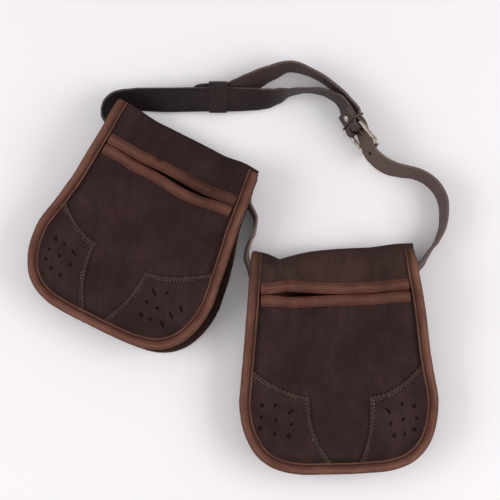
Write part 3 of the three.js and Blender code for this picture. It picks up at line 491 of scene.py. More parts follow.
# The holes punched in the corner patches: shape, how far from the middle, how far up, and turn in degrees
PUNCHED = {
    ("left", -1): [
        ("star", 78, 67, 10), ("dot", 67, 66, 0), ("dot", 79, 54, 30), ("leaf", 53, 62, 20),
        ("dot", 66, 52, 0), ("dot", 78, 43, 20), ("dot", 51, 49, 0), ("dot", 68, 37, 10),
        ("star", 56, 34.5, 30),
    ],
    ("left", 1): [
        ("leaf", 42.5, 61.5, 146), ("dot", 55, 67, 0), ("dot", 40, 49, 20), ("dot", 53, 48, 0),
        ("star", 40.5, 34, 15), ("dot", 51.5, 34, 10), ("leaf", 65, 35, 141), ("leaf", 76, 58, 130),
        ("leaf", 69, 47.5, 141),
    ],
    ("right", -1): [
        ("star", 81, 74, 0), ("dot", 67, 73.5, 20), ("leaf", 51, 66.5, 145), ("dot", 82, 62, 0),
        ("dot", 67, 58, 20), ("dot", 51, 53.5, 0), ("dot", 68.5, 43.5, 10), ("star", 54, 42, 20),
        ("star", 84, 50, 30),
    ],
    ("right", 1): [
        ("leaf", 50.5, 64, 130), ("dot", 65.5, 70.5, 0), ("star", 78.5, 68, 10), ("dot", 66, 55, 0),
        ("dot", 80.5, 55.5, 20), ("dot", 52.5, 51, 0), ("star", 56, 38.5, 0), ("dot", 67, 39.5, 0),
        ("star", 77.5, 44, 20),
    ],
}

for pouch in POUCHES:
    rim, _ = rim_line(pouch, pouch["tall"] - MOUTH_DROP - LIP, HIDE_STEP)
    lip_edge = even_steps(np.stack([rim[-1], rim[0]]), HIDE_STEP)
    spots, faces = cut_out([np.concatenate([rim, lip_edge[1:-1]])], FRONT_STEP)
    # Painted shadow on the front beside the binding's inner edge, and painted shade on the front below each
    # punched hole.
    dark = 0.7 * np.exp(-((edge_distance(spots, rim) - SEAM_BAND) / 2.8) ** 2)
    for sign in (-1, 1):
        for _, across, up, _ in PUNCHED[pouch["name"], sign]:
            away = np.sum((spots - [sign * across, up]) ** 2, 1)
            dark = np.maximum(dark, np.exp(-away / PUNCH_SHADE ** 2))
    placed = on_front(pouch, *spots.T, inside_share(pouch, *spots.T))
    points, faces = thicken(lay_down(pouch, placed), faces, PANEL)
    panel = make_piece(pouch["name"] + "_front_hide", points, faces, nubuck)
    mark(panel, "shade_and_darkening", np.tile(dark, 2))
    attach(panel, "root")
    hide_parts(pouch["name"] + "_front_panel")


# Corner patches: thin smooth hide with pinked edges, punched right through in small groups of stars,
# leaves and dots, and sewn down with one row of pale linen thread just inside the pinking.

patch_hide = oiled_hide("smooth_patch_hide", "#241414", "#2e1c1a", "#3a2523", "#6e5850")

PATCHES = {
    ("left", -1): dict(top=106, point=(38, 80), pull=(60, 82), side=(38, 44), foot=17),
    ("left", 1): dict(top=106, point=(25, 76), pull=(52, 77), side=(26, 42), foot=7),
    ("right", -1): dict(top=109, point=(32, 80), pull=(59, 83), side=(36, 44), foot=11),
    ("right", 1): dict(top=110, point=(33, 78), pull=(61, 80), side=(35, 40), foot=20),
}
PUNCHES = {"star": (5, 3.8, 1.7), "leaf": (2, 4.2, 1.6), "dot": (4, 2.0, 1.7)}  # points, outer, inner radius
EDGE_FACE = 9.4  # width of the front edge binding, which the patches stop short of
CLEAR = RIM_INSET + EDGE_FACE + GAP
PATCH_OFF = PANEL / 2 + 0.1 + STRIP / 2
PATCH_STEP, PATCH_LINE = 1.3, 1.0
TOOTH, TOOTH_DEPTH = 4.6, 2.0
SEWN_IN = 3.3  # from the patch's edge line to its stitches
PATCH_STITCH = dict(pitch=3.4, length=2.5, width=1.3, slackness=0.35)


def curve_line(start, pull, end):
    """One soft curve of a patch's edge."""
    at = np.linspace(0, 1, 80)[:, None]
    line = (1 - at) ** 2 * np.array(start) + 2 * at * (1 - at) * np.array(pull) + at ** 2 * np.array(end)
    return even_steps(line, PATCH_LINE)


def pinked(line):
    """Zigzag teeth along a line, pointing to its right."""
    teeth = even_steps(line, TOOTH / 2)
    return teeth - left_of(teeth) * TOOTH_DEPTH * (np.arange(len(teeth)) % 2)[:, None]


def punch_loop(kind, across, up, turn):
    """The edge of one punched hole: a leaf is a narrow oval, a star or dot goes by its points."""
    points, outer, inner = PUNCHES[kind]
    tilt = math.radians(turn)
    if kind == "leaf":
        angle = np.linspace(0, 2 * math.pi, 12, endpoint=False)
        length, width = outer * np.cos(angle), inner * np.sin(angle)
        return np.stack([
            across + length * math.cos(tilt) - width * math.sin(tilt),
            up + length * math.sin(tilt) + width * math.cos(tilt),
        ], 1)
    corners = np.arange(2 * points)
    angle = tilt + math.pi * corners / points
    radius = np.where(corners % 2 == 0, outer, inner)
    return np.stack([across + radius * np.cos(angle), up + radius * np.sin(angle)], 1)


def thread_tree():
    """Stitches along sewn lines: the line is cut at the stitch pitch and a short thread laid at each cut."""
    tree = bpy.data.node_groups.new("thread_stitches", "GeometryNodeTree")
    tree.interface.new_socket("Sewn line", in_out="INPUT", socket_type="NodeSocketGeometry")
    sizes = {"Pitch": 0.0032, "Stitch length": 0.0024, "Thread width": 0.0008, "Slackness": 0.15}
    for name, value in sizes.items():
        socket = tree.interface.new_socket(name, in_out="INPUT", socket_type="NodeSocketFloat")
        socket.default_value = value
    tree.interface.new_socket("Thread", in_out="INPUT", socket_type="NodeSocketMaterial")
    tree.interface.new_socket("Stitches", in_out="OUTPUT", socket_type="NodeSocketGeometry")
    given = add(tree, "NodeGroupInput").outputs
    line = add(tree, "GeometryNodeMeshToCurve", {"Mesh": given["Sewn line"]})
    cuts = add(tree, "GeometryNodeResampleCurve", {
        "Curve": line.outputs[0], "Length": given["Pitch"],
    }, mode="LENGTH")
    ball = add(tree, "GeometryNodeMeshUVSphere", {"Segments": 8, "Rings": 5, "Radius": 0.5})
    size = add(tree, "ShaderNodeCombineXYZ", {
        0: given["Stitch length"], 1: given["Thread width"], 2: given["Thread width"],
    })
    thread = add(tree, "GeometryNodeTransform", {"Geometry": ball.outputs[0], "Scale": size.outputs[0]})
    stray = add(tree, "FunctionNodeRandomValue", {
        0: (-1, -1, -0.3), 1: (1, 1, 0.3), "Seed": 11,
    }, data_type="FLOAT_VECTOR")
    slack = add(tree, "ShaderNodeVectorMath", {
        0: stray.outputs[0], "Scale": given["Slackness"],
    }, operation="SCALE")
    way = add(tree, "ShaderNodeVectorMath", {
        0: add(tree, "GeometryNodeInputTangent").outputs[0], 1: slack.outputs[0],
    }, operation="ADD")
    turn = add(tree, "FunctionNodeAlignRotationToVector", {"Vector": way.outputs[0]}, axis="X")
    length = add(tree, "FunctionNodeRandomValue", {2: 0.5, 3: 1.1, "Seed": 5}, data_type="FLOAT")
    laid = add(tree, "GeometryNodeInstanceOnPoints", {
        "Points": cuts.outputs[0], "Instance": thread.outputs[0], "Rotation": turn.outputs[0],
        "Scale": length.outputs[1],
    })
    real = add(tree, "GeometryNodeRealizeInstances", {"Geometry": laid.outputs[0]})
    done = add(tree, "GeometryNodeSetMaterial", {"Geometry": real.outputs[0], "Material": given["Thread"]})
    add(tree, "NodeGroupOutput", {0: done.outputs[0]})
    return tree


stitch_tree = thread_tree()


def sew(name, lines, thread, pitch, length, width, slackness=0.15):
    """Runs a row of stitches along each line of points, in millimetres, and keeps the plain mesh."""
    mesh = bpy.data.meshes.new(name)
    edges, start = [], 0
    for line in lines:
        edges += [(start + k, start + k + 1) for k in range(len(line) - 1)]
        start += len(line)
    mesh.from_pydata((np.concatenate(lines) / 1000).tolist(), edges, [])
    row = bpy.data.objects.new(name, mesh)
    bpy.context.scene.collection.objects.link(row)
    modifier = row.modifiers.new("stitches", "NODES")
    modifier.node_group = stitch_tree
    wanted = {
        "Pitch": pitch / 1000, "Stitch length": length / 1000, "Thread width": width / 1000,
        "Slackness": slackness, "Thread": thread,
    }
    for item in stitch_tree.interface.items_tree:
        if item.name in wanted:
            modifier[item.identifier] = wanted[item.name]
    sewn = row.evaluated_get(bpy.context.evaluated_depsgraph_get())
    stitches = bpy.data.meshes.new_from_object(sewn)
    row.modifiers.clear()
    row.data = stitches
    stitches.shade_smooth()
    return row


def waxed_thread(name, code):
    """Waxed linen thread: matt, slightly fuzzy, paler than the leather, greyed in patches of about 17 mm."""
    material, tree, shader = new_material(name)
    place = add(tree, "ShaderNodeTexCoord").outputs["Object"]
    darker_tone = add(tree, "ShaderNodeTexNoise", {
        "Vector": place, "Scale": 1 / 0.017, "Detail": 5, "Roughness": 0.7,
    })
    greyed = [c * 0.3 for c in colour(code)[:3]] + [1]
    tone = add(tree, "ShaderNodeValToRGB", {"Fac": darker_tone.outputs["Fac"]}, stops=[
        (0.42, greyed), (0.66, colour(code)),
    ])
    tree.links.new(tone.outputs[0], shader.inputs["Base Color"])
    shader.inputs["Roughness"].default_value = 0.8
    shader.inputs["Specular IOR Level"].default_value = 0.2
    return material


pale_thread = waxed_thread("pale_linen_thread", "#77635c")

for pouch in POUCHES:
    rows = []
    for sign, corner in ((-1, "left"), (1, "right")):
        shape = PATCHES[pouch["name"], sign]
        edge_top = (float(side_half(pouch, shape["top"], sign)) - CLEAR, shape["top"])
        upper = curve_line(edge_top, shape["pull"], shape["point"])
        lower = curve_line(shape["point"], shape["side"], (shape["foot"], CLEAR))
        rim, inward = rim_line(pouch, shape["top"])
        rim = rim + inward * (EDGE_FACE + GAP)
        outer = rim[(rim[:, 0] * sign > shape["foot"] + 1) & (rim[:, 1] < shape["top"] - 1)] * [sign, 1]
        outer = outer if sign > 0 else outer[::-1]
        holes = [punch_loop(*hole) for hole in PUNCHED[pouch["name"], sign]]
        outline = np.concatenate([pinked(upper), pinked(lower)[1:], outer])
        spots, faces = cut_out([outline, *holes], PATCH_STEP)
        off_edge = edge_distance(spots, np.concatenate([upper, lower[1:]]))
        off_binding = edge_distance(spots, outer)
        spots, faces = spots * [sign, 1], faces if sign > 0 else faces[:, ::-1]
        placed = on_front(pouch, *spots.T, inside_share(pouch, *spots.T))
        curl = np.exp(-((off_edge - 0.8) / 1.5) ** 2)
        groove = np.exp(-((off_edge - SEWN_IN) / 0.9) ** 2)
        pressed = PATCH_OFF + 0.35 * curl - 0.45 * groove
        points, solid = thicken(lay_down(pouch, placed), faces, STRIP, pressed)
        patch = make_piece(f"{pouch['name']}_{corner}_corner_patch", points, solid, patch_hide)
        # Painted shade in the stitch groove and, broken into blotches, beside the binding; the curled edge is
        # paler, partly wear, partly a painted highlight.
        blotch = np.clip(0.5 + 1.6 * ripple(*spots.T, 2.7, 15, 1.0), 0, 1)
        binding_shade = 0.75 * blotch * np.exp(-(off_binding / 6) ** 2)
        mark(patch, "wear_and_highlight", np.tile(0.35 * curl, 2))
        mark(patch, "shade_and_darkening", np.tile(np.maximum(0.8 * groove, binding_shade), 2))
        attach(patch, "root")
        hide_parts(f"{pouch['name']}_patch_{corner}")
        for line in (upper, lower):
            row = (line + SEWN_IN * left_of(line))[3:-3] * [sign, 1]
            flat = on_front(pouch, *row.T, inside_share(pouch, *row.T))
            flat[:, 2] += PATCH_OFF + STRIP / 2 - 0.1
            rows.append(lay_down(pouch, flat))
    stitches = sew(pouch["name"] + "_patch_stitches", rows, pale_thread, **PATCH_STITCH)
    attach(stitches, "root")


# Mouth bands: strips of smooth red-brown calf, one for each lip of the slit mouth. Each is folded over its
# lip and sewn through with brown thread near its inner edge, and the left upper one is darker towards its
# right.

def smooth_strip(name, dark, mid, light, worn):
    """Smooth calf, polished and pulled: streaks along it, painted shade in grooves, crowns paler from wear
    and a painted highlight.
    """
    material, tree, shader = new_material(name)
    lay = add(tree, "ShaderNodeUVMap", uv_map="lay").outputs[0]
    place = add(tree, "ShaderNodeTexCoord").outputs["Object"]
    # Streaks 1.3 by 22 mm along the strip, clouds of 22 mm, and a grain drawn coarse, at 1.2 mm, to show
    drawn = add(tree, "ShaderNodeMapping", {"Vector": lay, "Scale": (0.06, 1, 1)}).outputs[0]
    streak = add(tree, "ShaderNodeTexNoise", {
        "Vector": drawn, "Scale": 1 / 0.0013, "Detail": 3, "Roughness": 0.6,
    }).outputs["Fac"]
    cloud = add(tree, "ShaderNodeTexNoise", {"Vector": place, "Scale": 1 / 0.022, "Detail": 3}).outputs["Fac"]
    grain = add(tree, "ShaderNodeTexNoise", {
        "Vector": place, "Scale": 1 / 0.0012, "Detail": 2,
    }).outputs["Fac"]
    mixed = add(tree, "ShaderNodeMix", {0: 0.5, 2: streak, 3: cloud}, data_type="FLOAT").outputs[0]
    tone = add(tree, "ShaderNodeValToRGB", {"Fac": mixed}, stops=[
        (0.3, colour(dark)), (0.5, colour(mid)), (0.7, colour(light)),
    ]).outputs[0]
    # Over the tone: a paler colour for wear and painted highlight, then a near-black for painted shade and
    # other darkening.
    paler = tint_over(tree, tone, "wear_and_highlight", worn, streak)
    tree.links.new(tint_over(tree, paler, "shade_and_darkening", "#1f0f0c"), shader.inputs["Base Color"])
    relief = add(tree, "ShaderNodeMix", {0: 0.4, 2: streak, 3: grain}, data_type="FLOAT").outputs[0]
    bump = add(tree, "ShaderNodeBump", {"Strength": 0.4, "Distance": 0.0004, "Height": relief})
    tree.links.new(bump.outputs[0], shader.inputs["Normal"])
    shader.inputs["Roughness"].default_value = 0.6
    shader.inputs["Specular IOR Level"].default_value = 0.12
    return material


red_calf = smooth_strip("red_brown_calf_strip", "#3f211a", "#543127", "#684235", "#7f5c4c")
brown_thread = waxed_thread("brown_linen_thread", "#66483c")


def strip_section(centre, thickness):
    """The closed outline of a strip that follows a line, with softly rounded cut edges."""
    along = unit(np.gradient(centre, axis=0))
    side = left_of(centre) * thickness / 2
    first, last = centre[0] - along[0] * thickness * 0.3, centre[-1] + along[-1] * thickness * 0.3
    return np.concatenate([centre + side, [last], (centre - side)[::-1], [first]])


def signed_volume(points, faces):
    """Volume inside closed faces, below zero where they point inwards."""
    total = 0.0
    for face in faces:
        for k in range(1, len(face) - 1):
            total += np.dot(points[face[0]], np.cross(points[face[k]], points[face[k + 1]]))
    return total / 6


def tube_faces(points, count, ring, closed=False):
    """Faces round a tube of stations, capped at its ends or closed on itself, all pointing outwards."""
    faces = []
    for row in range(count if closed else count - 1):
        here, there = row * ring, (row + 1) % count * ring
        for k in range(ring):
            beside = (k + 1) % ring
            faces.append((here + k, here + beside, there + beside, there + k))
    if not closed:
        faces += [tuple(range(ring))[::-1], tuple(range((count - 1) * ring, count * ring))]
    return faces if signed_volume(points, faces) > 0 else [face[::-1] for face in faces]


def sweep(middles, inwards, outs, sections):
    """A closed strip through stations; sections hold how far in and how far out each outline point is."""
    count, ring = sections.shape[:2]
    points = middles[:, None] + sections[..., :1] * inwards[:, None] + sections[..., 1:] * outs[:, None]
    points = points.reshape(-1, 3)
    lay = np.stack([np.repeat(run_along(middles), ring), np.tile(run_along(sections[0]), count)], 1)
    return points, tube_faces(points, count, ring), lay


def seam_ways(edges, inners, facing):
    """At each station of a seam: the way in along the panel, and the way out of its face."""
    inward = unit(inners - edges)
    out = unit(np.cross(np.gradient(edges, axis=0), inward))
    out[out[:, 2] * facing < 0] *= -1
    return inward, out


def wander(count, step, seed, length, height):
    """Slow unevenness along a seam."""
    return height * np.array([noise.noise(Vector((k * step / length, seed, 0))) for k in range(count)])


OUTER_LEAF = PANEL / 2 + GAP + STRIP / 2
BAND_FACE, BAND_UNDER = 10.0, 5.0
BAND_SEWN = 8.4  # from the lip to the stitches
BAND_STITCH = dict(pitch=3.2, length=2.3, width=0.7)
BAND_STATIONS = 90
turn_angle = np.linspace(math.pi / 2, -math.pi / 2, 9)
band_section = strip_section(np.concatenate([
    np.stack([np.array([BAND_FACE, 9.2, BAND_SEWN, 7.4, 6, 4, 2, 0.6]),
              OUTER_LEAF + np.array([0, 0.0, -0.3, 0.1, 0.45, 0.6, 0.4, 0.1])], 1),
    np.stack([-0.4 - 1.3 * np.cos(turn_angle), OUTER_LEAF * np.sin(turn_angle)], 1),
    np.stack([np.array([1.5, BAND_UNDER]), np.full(2, -OUTER_LEAF)], 1),
]), STRIP)
band_crown = 0.5 * np.exp(-((band_section[:, 0] - 4) / 2.5) ** 2)

for pouch in POUCHES:
    mouth = pouch["tall"] - MOUTH_DROP
    for which, sign, place, node in (
        ("upper", 1, on_yoke, "mouth_band_upper"), ("lower", -1, on_front, "mouth_band_lower"),
    ):
        lip, behind = mouth + sign * LIP, mouth + sign * (LIP + SEAM_BAND)
        half_left, half_right = (
            float(side_half(pouch, lip, side)) - RIM_INSET - SEAM_BAND for side in (-1, 1)
        )
        x = np.arange(-half_left, half_right + 0.1, (half_left + half_right) / BAND_STATIONS)
        edges, inners = (
            lay_down(pouch, place(pouch, x, h, inside_share(pouch, x, h)))
            for h in (np.full_like(x, lip), np.full_like(x, behind))
        )
        inward, out = seam_ways(edges, inners, 1)
        sections = np.repeat(band_section[None], len(x), 0)
        sections[..., 0] += wander(len(x), 1.8, 3.3 + sign + pouch["x"], 16, 0.35)[:, None] * 0.6
        points, faces, lay = sweep(edges, inward, out, sections)
        band = make_piece(f"{pouch['name']}_{which}_mouth_strip", points, faces, red_calf, lay)
        darker_tone = pouch["mouth_soil"] * (sign > 0)
        darker_part = darker_tone * smooth(x, -30, 20)
        # Painted shade in a crease of the left upper band.
        crease_shade = 2 * np.outer(darker_tone * np.exp(-((x + 19) / 5.5) ** 2), smooth(band_section[:, 0], 4, 9))
        mark(band, "shade_and_darkening", np.maximum(darker_part[:, None], crease_shade).ravel())
        # Paler along each band's crown: partly wear, partly a painted highlight.
        mark(band, "wear_and_highlight", np.tile(band_crown, len(x)))
        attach(band, "root")
        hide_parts(f"{pouch['name']}_{node}")
        row = edges + inward * BAND_SEWN + out * (OUTER_LEAF + STRIP / 2 - 0.2)
        stitches = sew(f"{pouch['name']}_{which}_mouth_stitches", [row[1:-1]], brown_thread, **BAND_STITCH)
        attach(stitches, "root")


# Gusset: one long strip of the nubuck that runs down one side, round the bottom and up the other. A flange
# at each edge is sewn into the front and back bindings, and the wall between them bulges outwards.

GUSSET = 1.5
FLANGE_OFF = PANEL / 2 + GAP + GUSSET / 2
FLANGE = (0.2, 6.3)  # the flange's two edges, in from the panel's cut edge
WALL_INSET, WALL_BULGE = 8.6, 4.0
WALL_STEP = 3.0
SEAM_END = 8  # how far below the pouch's top the side seams end


def spline(points, steps):
    """A smooth line through points, in even steps between each two."""
    ends = np.concatenate([[2 * points[0] - points[1]], points, [2 * points[-1] - points[-2]]])
    line = []
    for k in range(len(points) - 1):
        p0, p1, p2, p3 = ends[k:k + 4]
        for at in np.arange(steps) / steps:
            line.append(p1 + 0.5 * at * (p2 - p0 + at * (
                2 * p0 - 5 * p1 + 4 * p2 - p3 + at * (3 * (p1 - p2) + p3 - p0))))
    return np.array(line + [points[-1]])


def seam_edges(pouch, place_below, place_above, step):
    """The cut edge of a seam and the seam's inner edge, in place."""
    rim, inward = rim_line(pouch, pouch["tall"] - SEAM_END, step)
    pair = []
    for flat in (rim, rim + inward * SEAM_BAND):
        x, h = flat.T
        nothing = np.zeros_like(x)
        upper = rim[:, 1] > pouch["tall"] - MOUTH_DROP
        pair.append(np.where(
            upper[:, None], place_above(pouch, x, h, nothing), place_below(pouch, x, h, nothing),
        ))
    return pair


def off_seam(edges, ways, k, into, off):
    """A place at a station of a seam: so far in along the panel, and so far off its inner face."""
    return edges[k] + ways[0][k] * into - ways[1][k] * off


for pouch in POUCHES:
    front_edge, front_in = (lay_down(pouch, line) for line in seam_edges(pouch, on_front, on_yoke, WALL_STEP))
    back_edge, back_in = (lay_down(pouch, line) for line in seam_edges(pouch, on_back, on_back, WALL_STEP))
    front_ways, back_ways = seam_ways(front_edge, front_in, 1), seam_ways(back_edge, back_in, -1)
    count = len(front_edge)
    crumple = wander(count, WALL_STEP, pouch["x"] + 0.5, 14, 1.6)
    crumple += wander(count, WALL_STEP, pouch["x"] + 9.5, 6, 0.7)
    rows = []
    for k in range(count):
        front = [off_seam(front_edge, front_ways, k, into, FLANGE_OFF) for into in FLANGE]
        back = [off_seam(back_edge, back_ways, k, into, FLANGE_OFF) for into in FLANGE[::-1]]
        top = off_seam(front_edge, front_ways, k, WALL_INSET, FLANGE_OFF + GUSSET)
        foot = off_seam(back_edge, back_ways, k, WALL_INSET, FLANGE_OFF + GUSSET)
        outward = -(front_ways[0][k] + back_ways[0][k]) * [1, 1, 0]
        outward /= np.linalg.norm(outward)
        height = np.linalg.norm(top - foot)
        bulge = WALL_BULGE * smooth(height, WALL_BULGE, DEPTH_BOTTOM - 2 * (FLANGE_OFF + GUSSET))
        middle = (top + foot) / 2 + outward * (bulge + crumple[k] * min(1, height / 15))
        rows.append(spline(np.array([*front, top, middle, foot, *back]), 4))
    columns = len(rows[0])
    quads = [
        (r * columns + c, r * columns + c + 1, (r + 1) * columns + c + 1, (r + 1) * columns + c)
        for r in range(count - 1) for c in range(columns - 1)
    ]
    halves = np.array([half for a, b, c, d in quads for half in ((a, b, c), (a, c, d))])
    points, faces = thicken(np.concatenate(rows), halves, GUSSET)
    wall = make_piece(pouch["name"] + "_gusset_strip", points, faces, nubuck)
    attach(wall, "root")
    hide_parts(pouch["name"] + "_gusset")


# Edge bindings: strips of the red-brown calf folded over the front and back seams of each pouch and sewn
# through all layers near their inner edge, so they stand up rounded outside the row of stitches.

INNER_LEAF = PANEL / 2 + GAP + GUSSET + GAP + STRIP / 2
BACK_FACE = 9.0
SEAM_STEP = 1.7
SEAM_SHORT = 2.4  # from the end of a side seam up to the start of the fold
CROWN_FROM = 1.5  # only what stands higher than this swells and sinks along the strip
SKIVED, SKIVE_LENGTH = 1.3, 15  # the strip's ends are pared this much thinner, over this length
EDGE_STITCH = dict(pitch=3.2, length=2.2, width=0.7)
STRIP_ENDS = {
    "left": dict(over=(4.5, 2), drawn=0.2, darker_tone=(0.0, 0.1)),
    "right": dict(over=(5, 0), drawn=1.6, darker_tone=(0.5, 0.6)),
}
# The back bindings are the same red-brown calf, painted darker all round as painted shade.
shaded_calf = smooth_strip("shaded_red_brown_calf_strip", "#241411", "#321f19", "#402b23", "#5a4034")


def over_fold(pouch, pair):
    """Carries the front seam's two ends up over the top fold, each as far as it was sewn."""
    start = fold_start(pouch)
    ends = []
    for sign, reach in zip((-1, 1), STRIP_ENDS[pouch["name"]]["over"]):
        s = start + FOLD_TURN + SEAM_SHORT - np.arange(SEAM_STEP, reach + SEAM_SHORT, SEAM_STEP)
        x = sign * (side_half(pouch, start, sign) - RIM_INSET)
        ends.append([
            yoke_places(pouch, np.stack([np.full_like(s, x - sign * into), s], 1)) for into in (0, SEAM_BAND)
        ])
    return [np.concatenate([left[::-1], line, right]) for line, left, right in zip(pair, *ends)]


def binding_line(face, crown):
    """The folded strip's middle line in section; the crown stands up only where nothing presses on it."""
    middle, half = (OUTER_LEAF - INNER_LEAF) / 2, (OUTER_LEAF + INNER_LEAF) / 2
    outer = np.stack([
        np.array([face, face - 0.7, face - 1.5, face - 2.1, face - 2.9, face - 4.6, face - 6.4, 1.4, 0.4]),
        OUTER_LEAF + crown * np.array([0.2, 0.75, 0.5, -0.4, 0.0, 0.6, 1.1, 1.0, 0.55]),
    ], 1)
    turn = np.stack([-0.2 - 1.5 * np.cos(turn_angle), middle + half * np.sin(turn_angle)], 1)
    turn[:3, 1] += crown * np.array([0.2, 0.1, 0])
    inner = np.stack([np.array([1.6, 5.5]), np.full(2, -INNER_LEAF)], 1)
    return np.concatenate([outer, turn, inner])


for pouch in POUCHES:
    ends = STRIP_ENDS[pouch["name"]]
    for which, facing, face, leather, sunk, lower, upper in (
        ("front", 1, EDGE_FACE, red_calf, 0.25, on_front, on_yoke),
        ("back", -1, BACK_FACE, shaded_calf, 0.45, on_back, on_back),
    ):
        pair = seam_edges(pouch, lower, upper, SEAM_STEP)
        if which == "front":
            pair = over_fold(pouch, pair)
        edges, inners = (lay_down(pouch, line) for line in pair)
        inward, out = seam_ways(edges, inners, facing)
        count = len(edges)
        run = np.arange(count) * SEAM_STEP
        outline = strip_section(binding_line(face, max(facing, 0)), STRIP)
        sections = np.repeat(outline[None], count, 0)
        lean = wander(count, SEAM_STEP, pouch["x"] + facing, 24, 0.5)
        lean += wander(count, SEAM_STEP, pouch["x"] - facing, 7, 0.2)
        sections[..., 0] += lean[:, None]
        if which == "front":
            puff = 1 + wander(count, SEAM_STEP, 2 * pouch["x"] + facing, 9, 0.2)
            puffed = CROWN_FROM + (sections[..., 1] - CROWN_FROM) * puff[:, None]
            sections[..., 1] = np.where(sections[..., 1] > CROWN_FROM, puffed, sections[..., 1])
            thinned = 1 - smooth(np.minimum(run + 4, run[::-1]), 0, SKIVE_LENGTH)
            sections[..., 1] -= np.where(sections[..., 1] > 0, SKIVED * thinned[:, None], 0)
            sections[..., 0] += np.where(sections[..., 0] < 2, ends["drawn"] * thinned[:, None], 0)
        points, faces, lay = sweep(edges, inward, out, sections)
        strip = make_piece(f"{pouch['name']}_{which}_edge_strip", points, faces, leather, lay)
        across, on_top = outline[:, 0], outline[:, 1] > 0
        # Painted shade in the stitch groove; crown and bead paler, partly wear, partly a painted highlight;
        # front strips darker towards their ends.
        groove = 0.75 * np.exp(-((across - face + 2.2) / 0.6) ** 2) * on_top
        bead = np.exp(-((across - face + 0.8) / 0.6) ** 2)
        crowned = (np.exp(-((across - 1.2) / 2.6) ** 2) + bead) * on_top
        stretch = 0.75 + wander(count, SEAM_STEP, pouch["x"] + 4.5 * facing, 40, 0.6)
        first, last = ends["darker_tone"]
        darker_part = first * (1 - smooth(run, 25, 60)) + last * (1 - smooth(run[::-1], 0, 22))
        mark(strip, "shade_and_darkening", np.maximum.outer(darker_part * (facing > 0), groove).ravel())
        mark(strip, "wear_and_highlight", np.clip(np.outer(stretch, crowned).ravel(), 0, 1))
        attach(strip, "root")
        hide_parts(f"{pouch['name']}_{which}_binding")
        row = edges + inward * (face - 2.5 + lean)[:, None] + out * (OUTER_LEAF + STRIP / 2 - sunk)
        stitches = sew(f"{pouch['name']}_{which}_edge_stitches", [row[2:-2]], brown_thread, **EDGE_STITCH)
        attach(stitches, "root")


# Belt: one long strap of dark bridle leather, its creased edges paler from wear and a painted highlight.
# It folds round the buckle's bar, runs behind both pouches and comes back through the buckle as the tongue
# end, with a row of punched holes.

STRAP, BELT_HALF = 3.0, 14.0
BELT_STEP = 2.6
TIP_LENGTH = 16
BUCKLE = dict(middle=(124.7, 120.6, 19.5), turn=-52, lean=20, length=30, width=34, corner=3, wire=2.1)
FOLD_SWING = 8
RIVET_AT, RIVET_HOLE = -14, 1.9
HOLE_PITCH, HOLE_RADIUS = 25, 2.0
UP = np.array([0, 0, 1.0])
# The belt's way over the table: place, how far its lower edge hangs over the table, and lean in degrees
TOP_STRETCH = [
    (101, 162.5, 2, 10), (92.5, 169.5, 0.4, 1), (80, 175.3, 0, -3), (63, 176.8, 0, -8), (46, 174.8, 0, -2),
    (31, 170, 0.8, 20), (18, 167, 2.6, 36), (3, 166.5, 4.2, 48), (-22, 166.5, 5.4, 59), (-54, 166.5, 5.6, 60),
    (-90, 166.6, 3, 60), (-120, 167.3, 0.6, 51), (-137, 167.3, 0, 36), (-147.5, 166, 0, 27),
    (-155, 160.5, 0, 22), (-158.5, 152.5, 0, 18), (-160.5, 144, 0.4, 5),
]
LINK_STRETCH = [
    (0.3, 45, 0, -4), (6, 33, 0, -4), (6.3, 25, 0, -2), (4.5, 16, 0, 0), (-0.7, 5.5, 0, -7),
    (-3.9, -7, 0, -7), (-2.5, -16, 0.4, -6),
]
RIGHT_STRETCH = [
    (185.5, -18, 0.2, -11), (193.5, -6.5, 0, -7), (202.5, 6, 0, 2), (209.8, 22, 0, 6), (212, 38, 0, 9),
    (211, 53, 0, 11), (205, 66, 0, 11), (194.5, 76.5, 0, 11), (181, 83, 0, 12), (166, 85.7, 0.3, 16),
    (152.5, 89.5, 1.2, 20),
]
TONGUE_STRETCH = [
    (117.5, 149, 1.4, 12), (108, 165, 0.6, 3), (92.5, 181, 0, 0), (73, 194.6, 0, 0), (45, 204.1, 0, 7),
    (25.5, 197.3, 0.8, 19), (8, 189, 2.4, 30), (-5, 181.4, 3.8, 44), (-14, 176.4, 4.2, 54),
    (-23.5, 172.2, 4.4, 60), (-62, 171.4, 4, 60),
]
# And its way behind a pouch: across the pouch, height over the table, and lean in degrees
IN_TUNNEL = [
    (-80, 12.9, -42), (-62, 6.8, -70), (-44, 3.8, -90), (0, 3.8, -90), (44, 3.8, -90), (62, 6.8, -70),
    (80, 12.9, -42),
]


def leaning(lean, outward):
    """The way of the strap's width when it leans from upright towards a side."""
    return UP * math.cos(lean) + outward * math.sin(lean)


buckle_turn = math.radians(BUCKLE["turn"])
BAR_ALONG = np.array([math.cos(buckle_turn), math.sin(buckle_turn), 0])
BAR_ACROSS = leaning(math.radians(BUCKLE["lean"]), np.cross(UP, BAR_ALONG))
BAR_FACE = -np.cross(BAR_ACROSS, BAR_ALONG)
BAR_FACE = BAR_FACE if BAR_FACE @ np.cross(UP, BAR_ALONG) > 0 else -BAR_FACE


def by_buckle(along, out, across=0.0):
    """A place measured from the hinge bar: along the belt, out of the frame, and across the belt."""
    start = np.array(BUCKLE["middle"]) + SHIFT - BAR_ALONG * BUCKLE["length"] / 2
    return start + BAR_ALONG * along + BAR_FACE * out + BAR_ACROSS * across


def by_fold(along, out, across=0.0):
    """A place on the strap's fold, which has swung a little on the hinge bar."""
    swing = math.radians(FOLD_SWING)
    return by_buckle(
        along * math.cos(swing) + out * math.sin(swing),
        out * math.cos(swing) - along * math.sin(swing), across,
    )


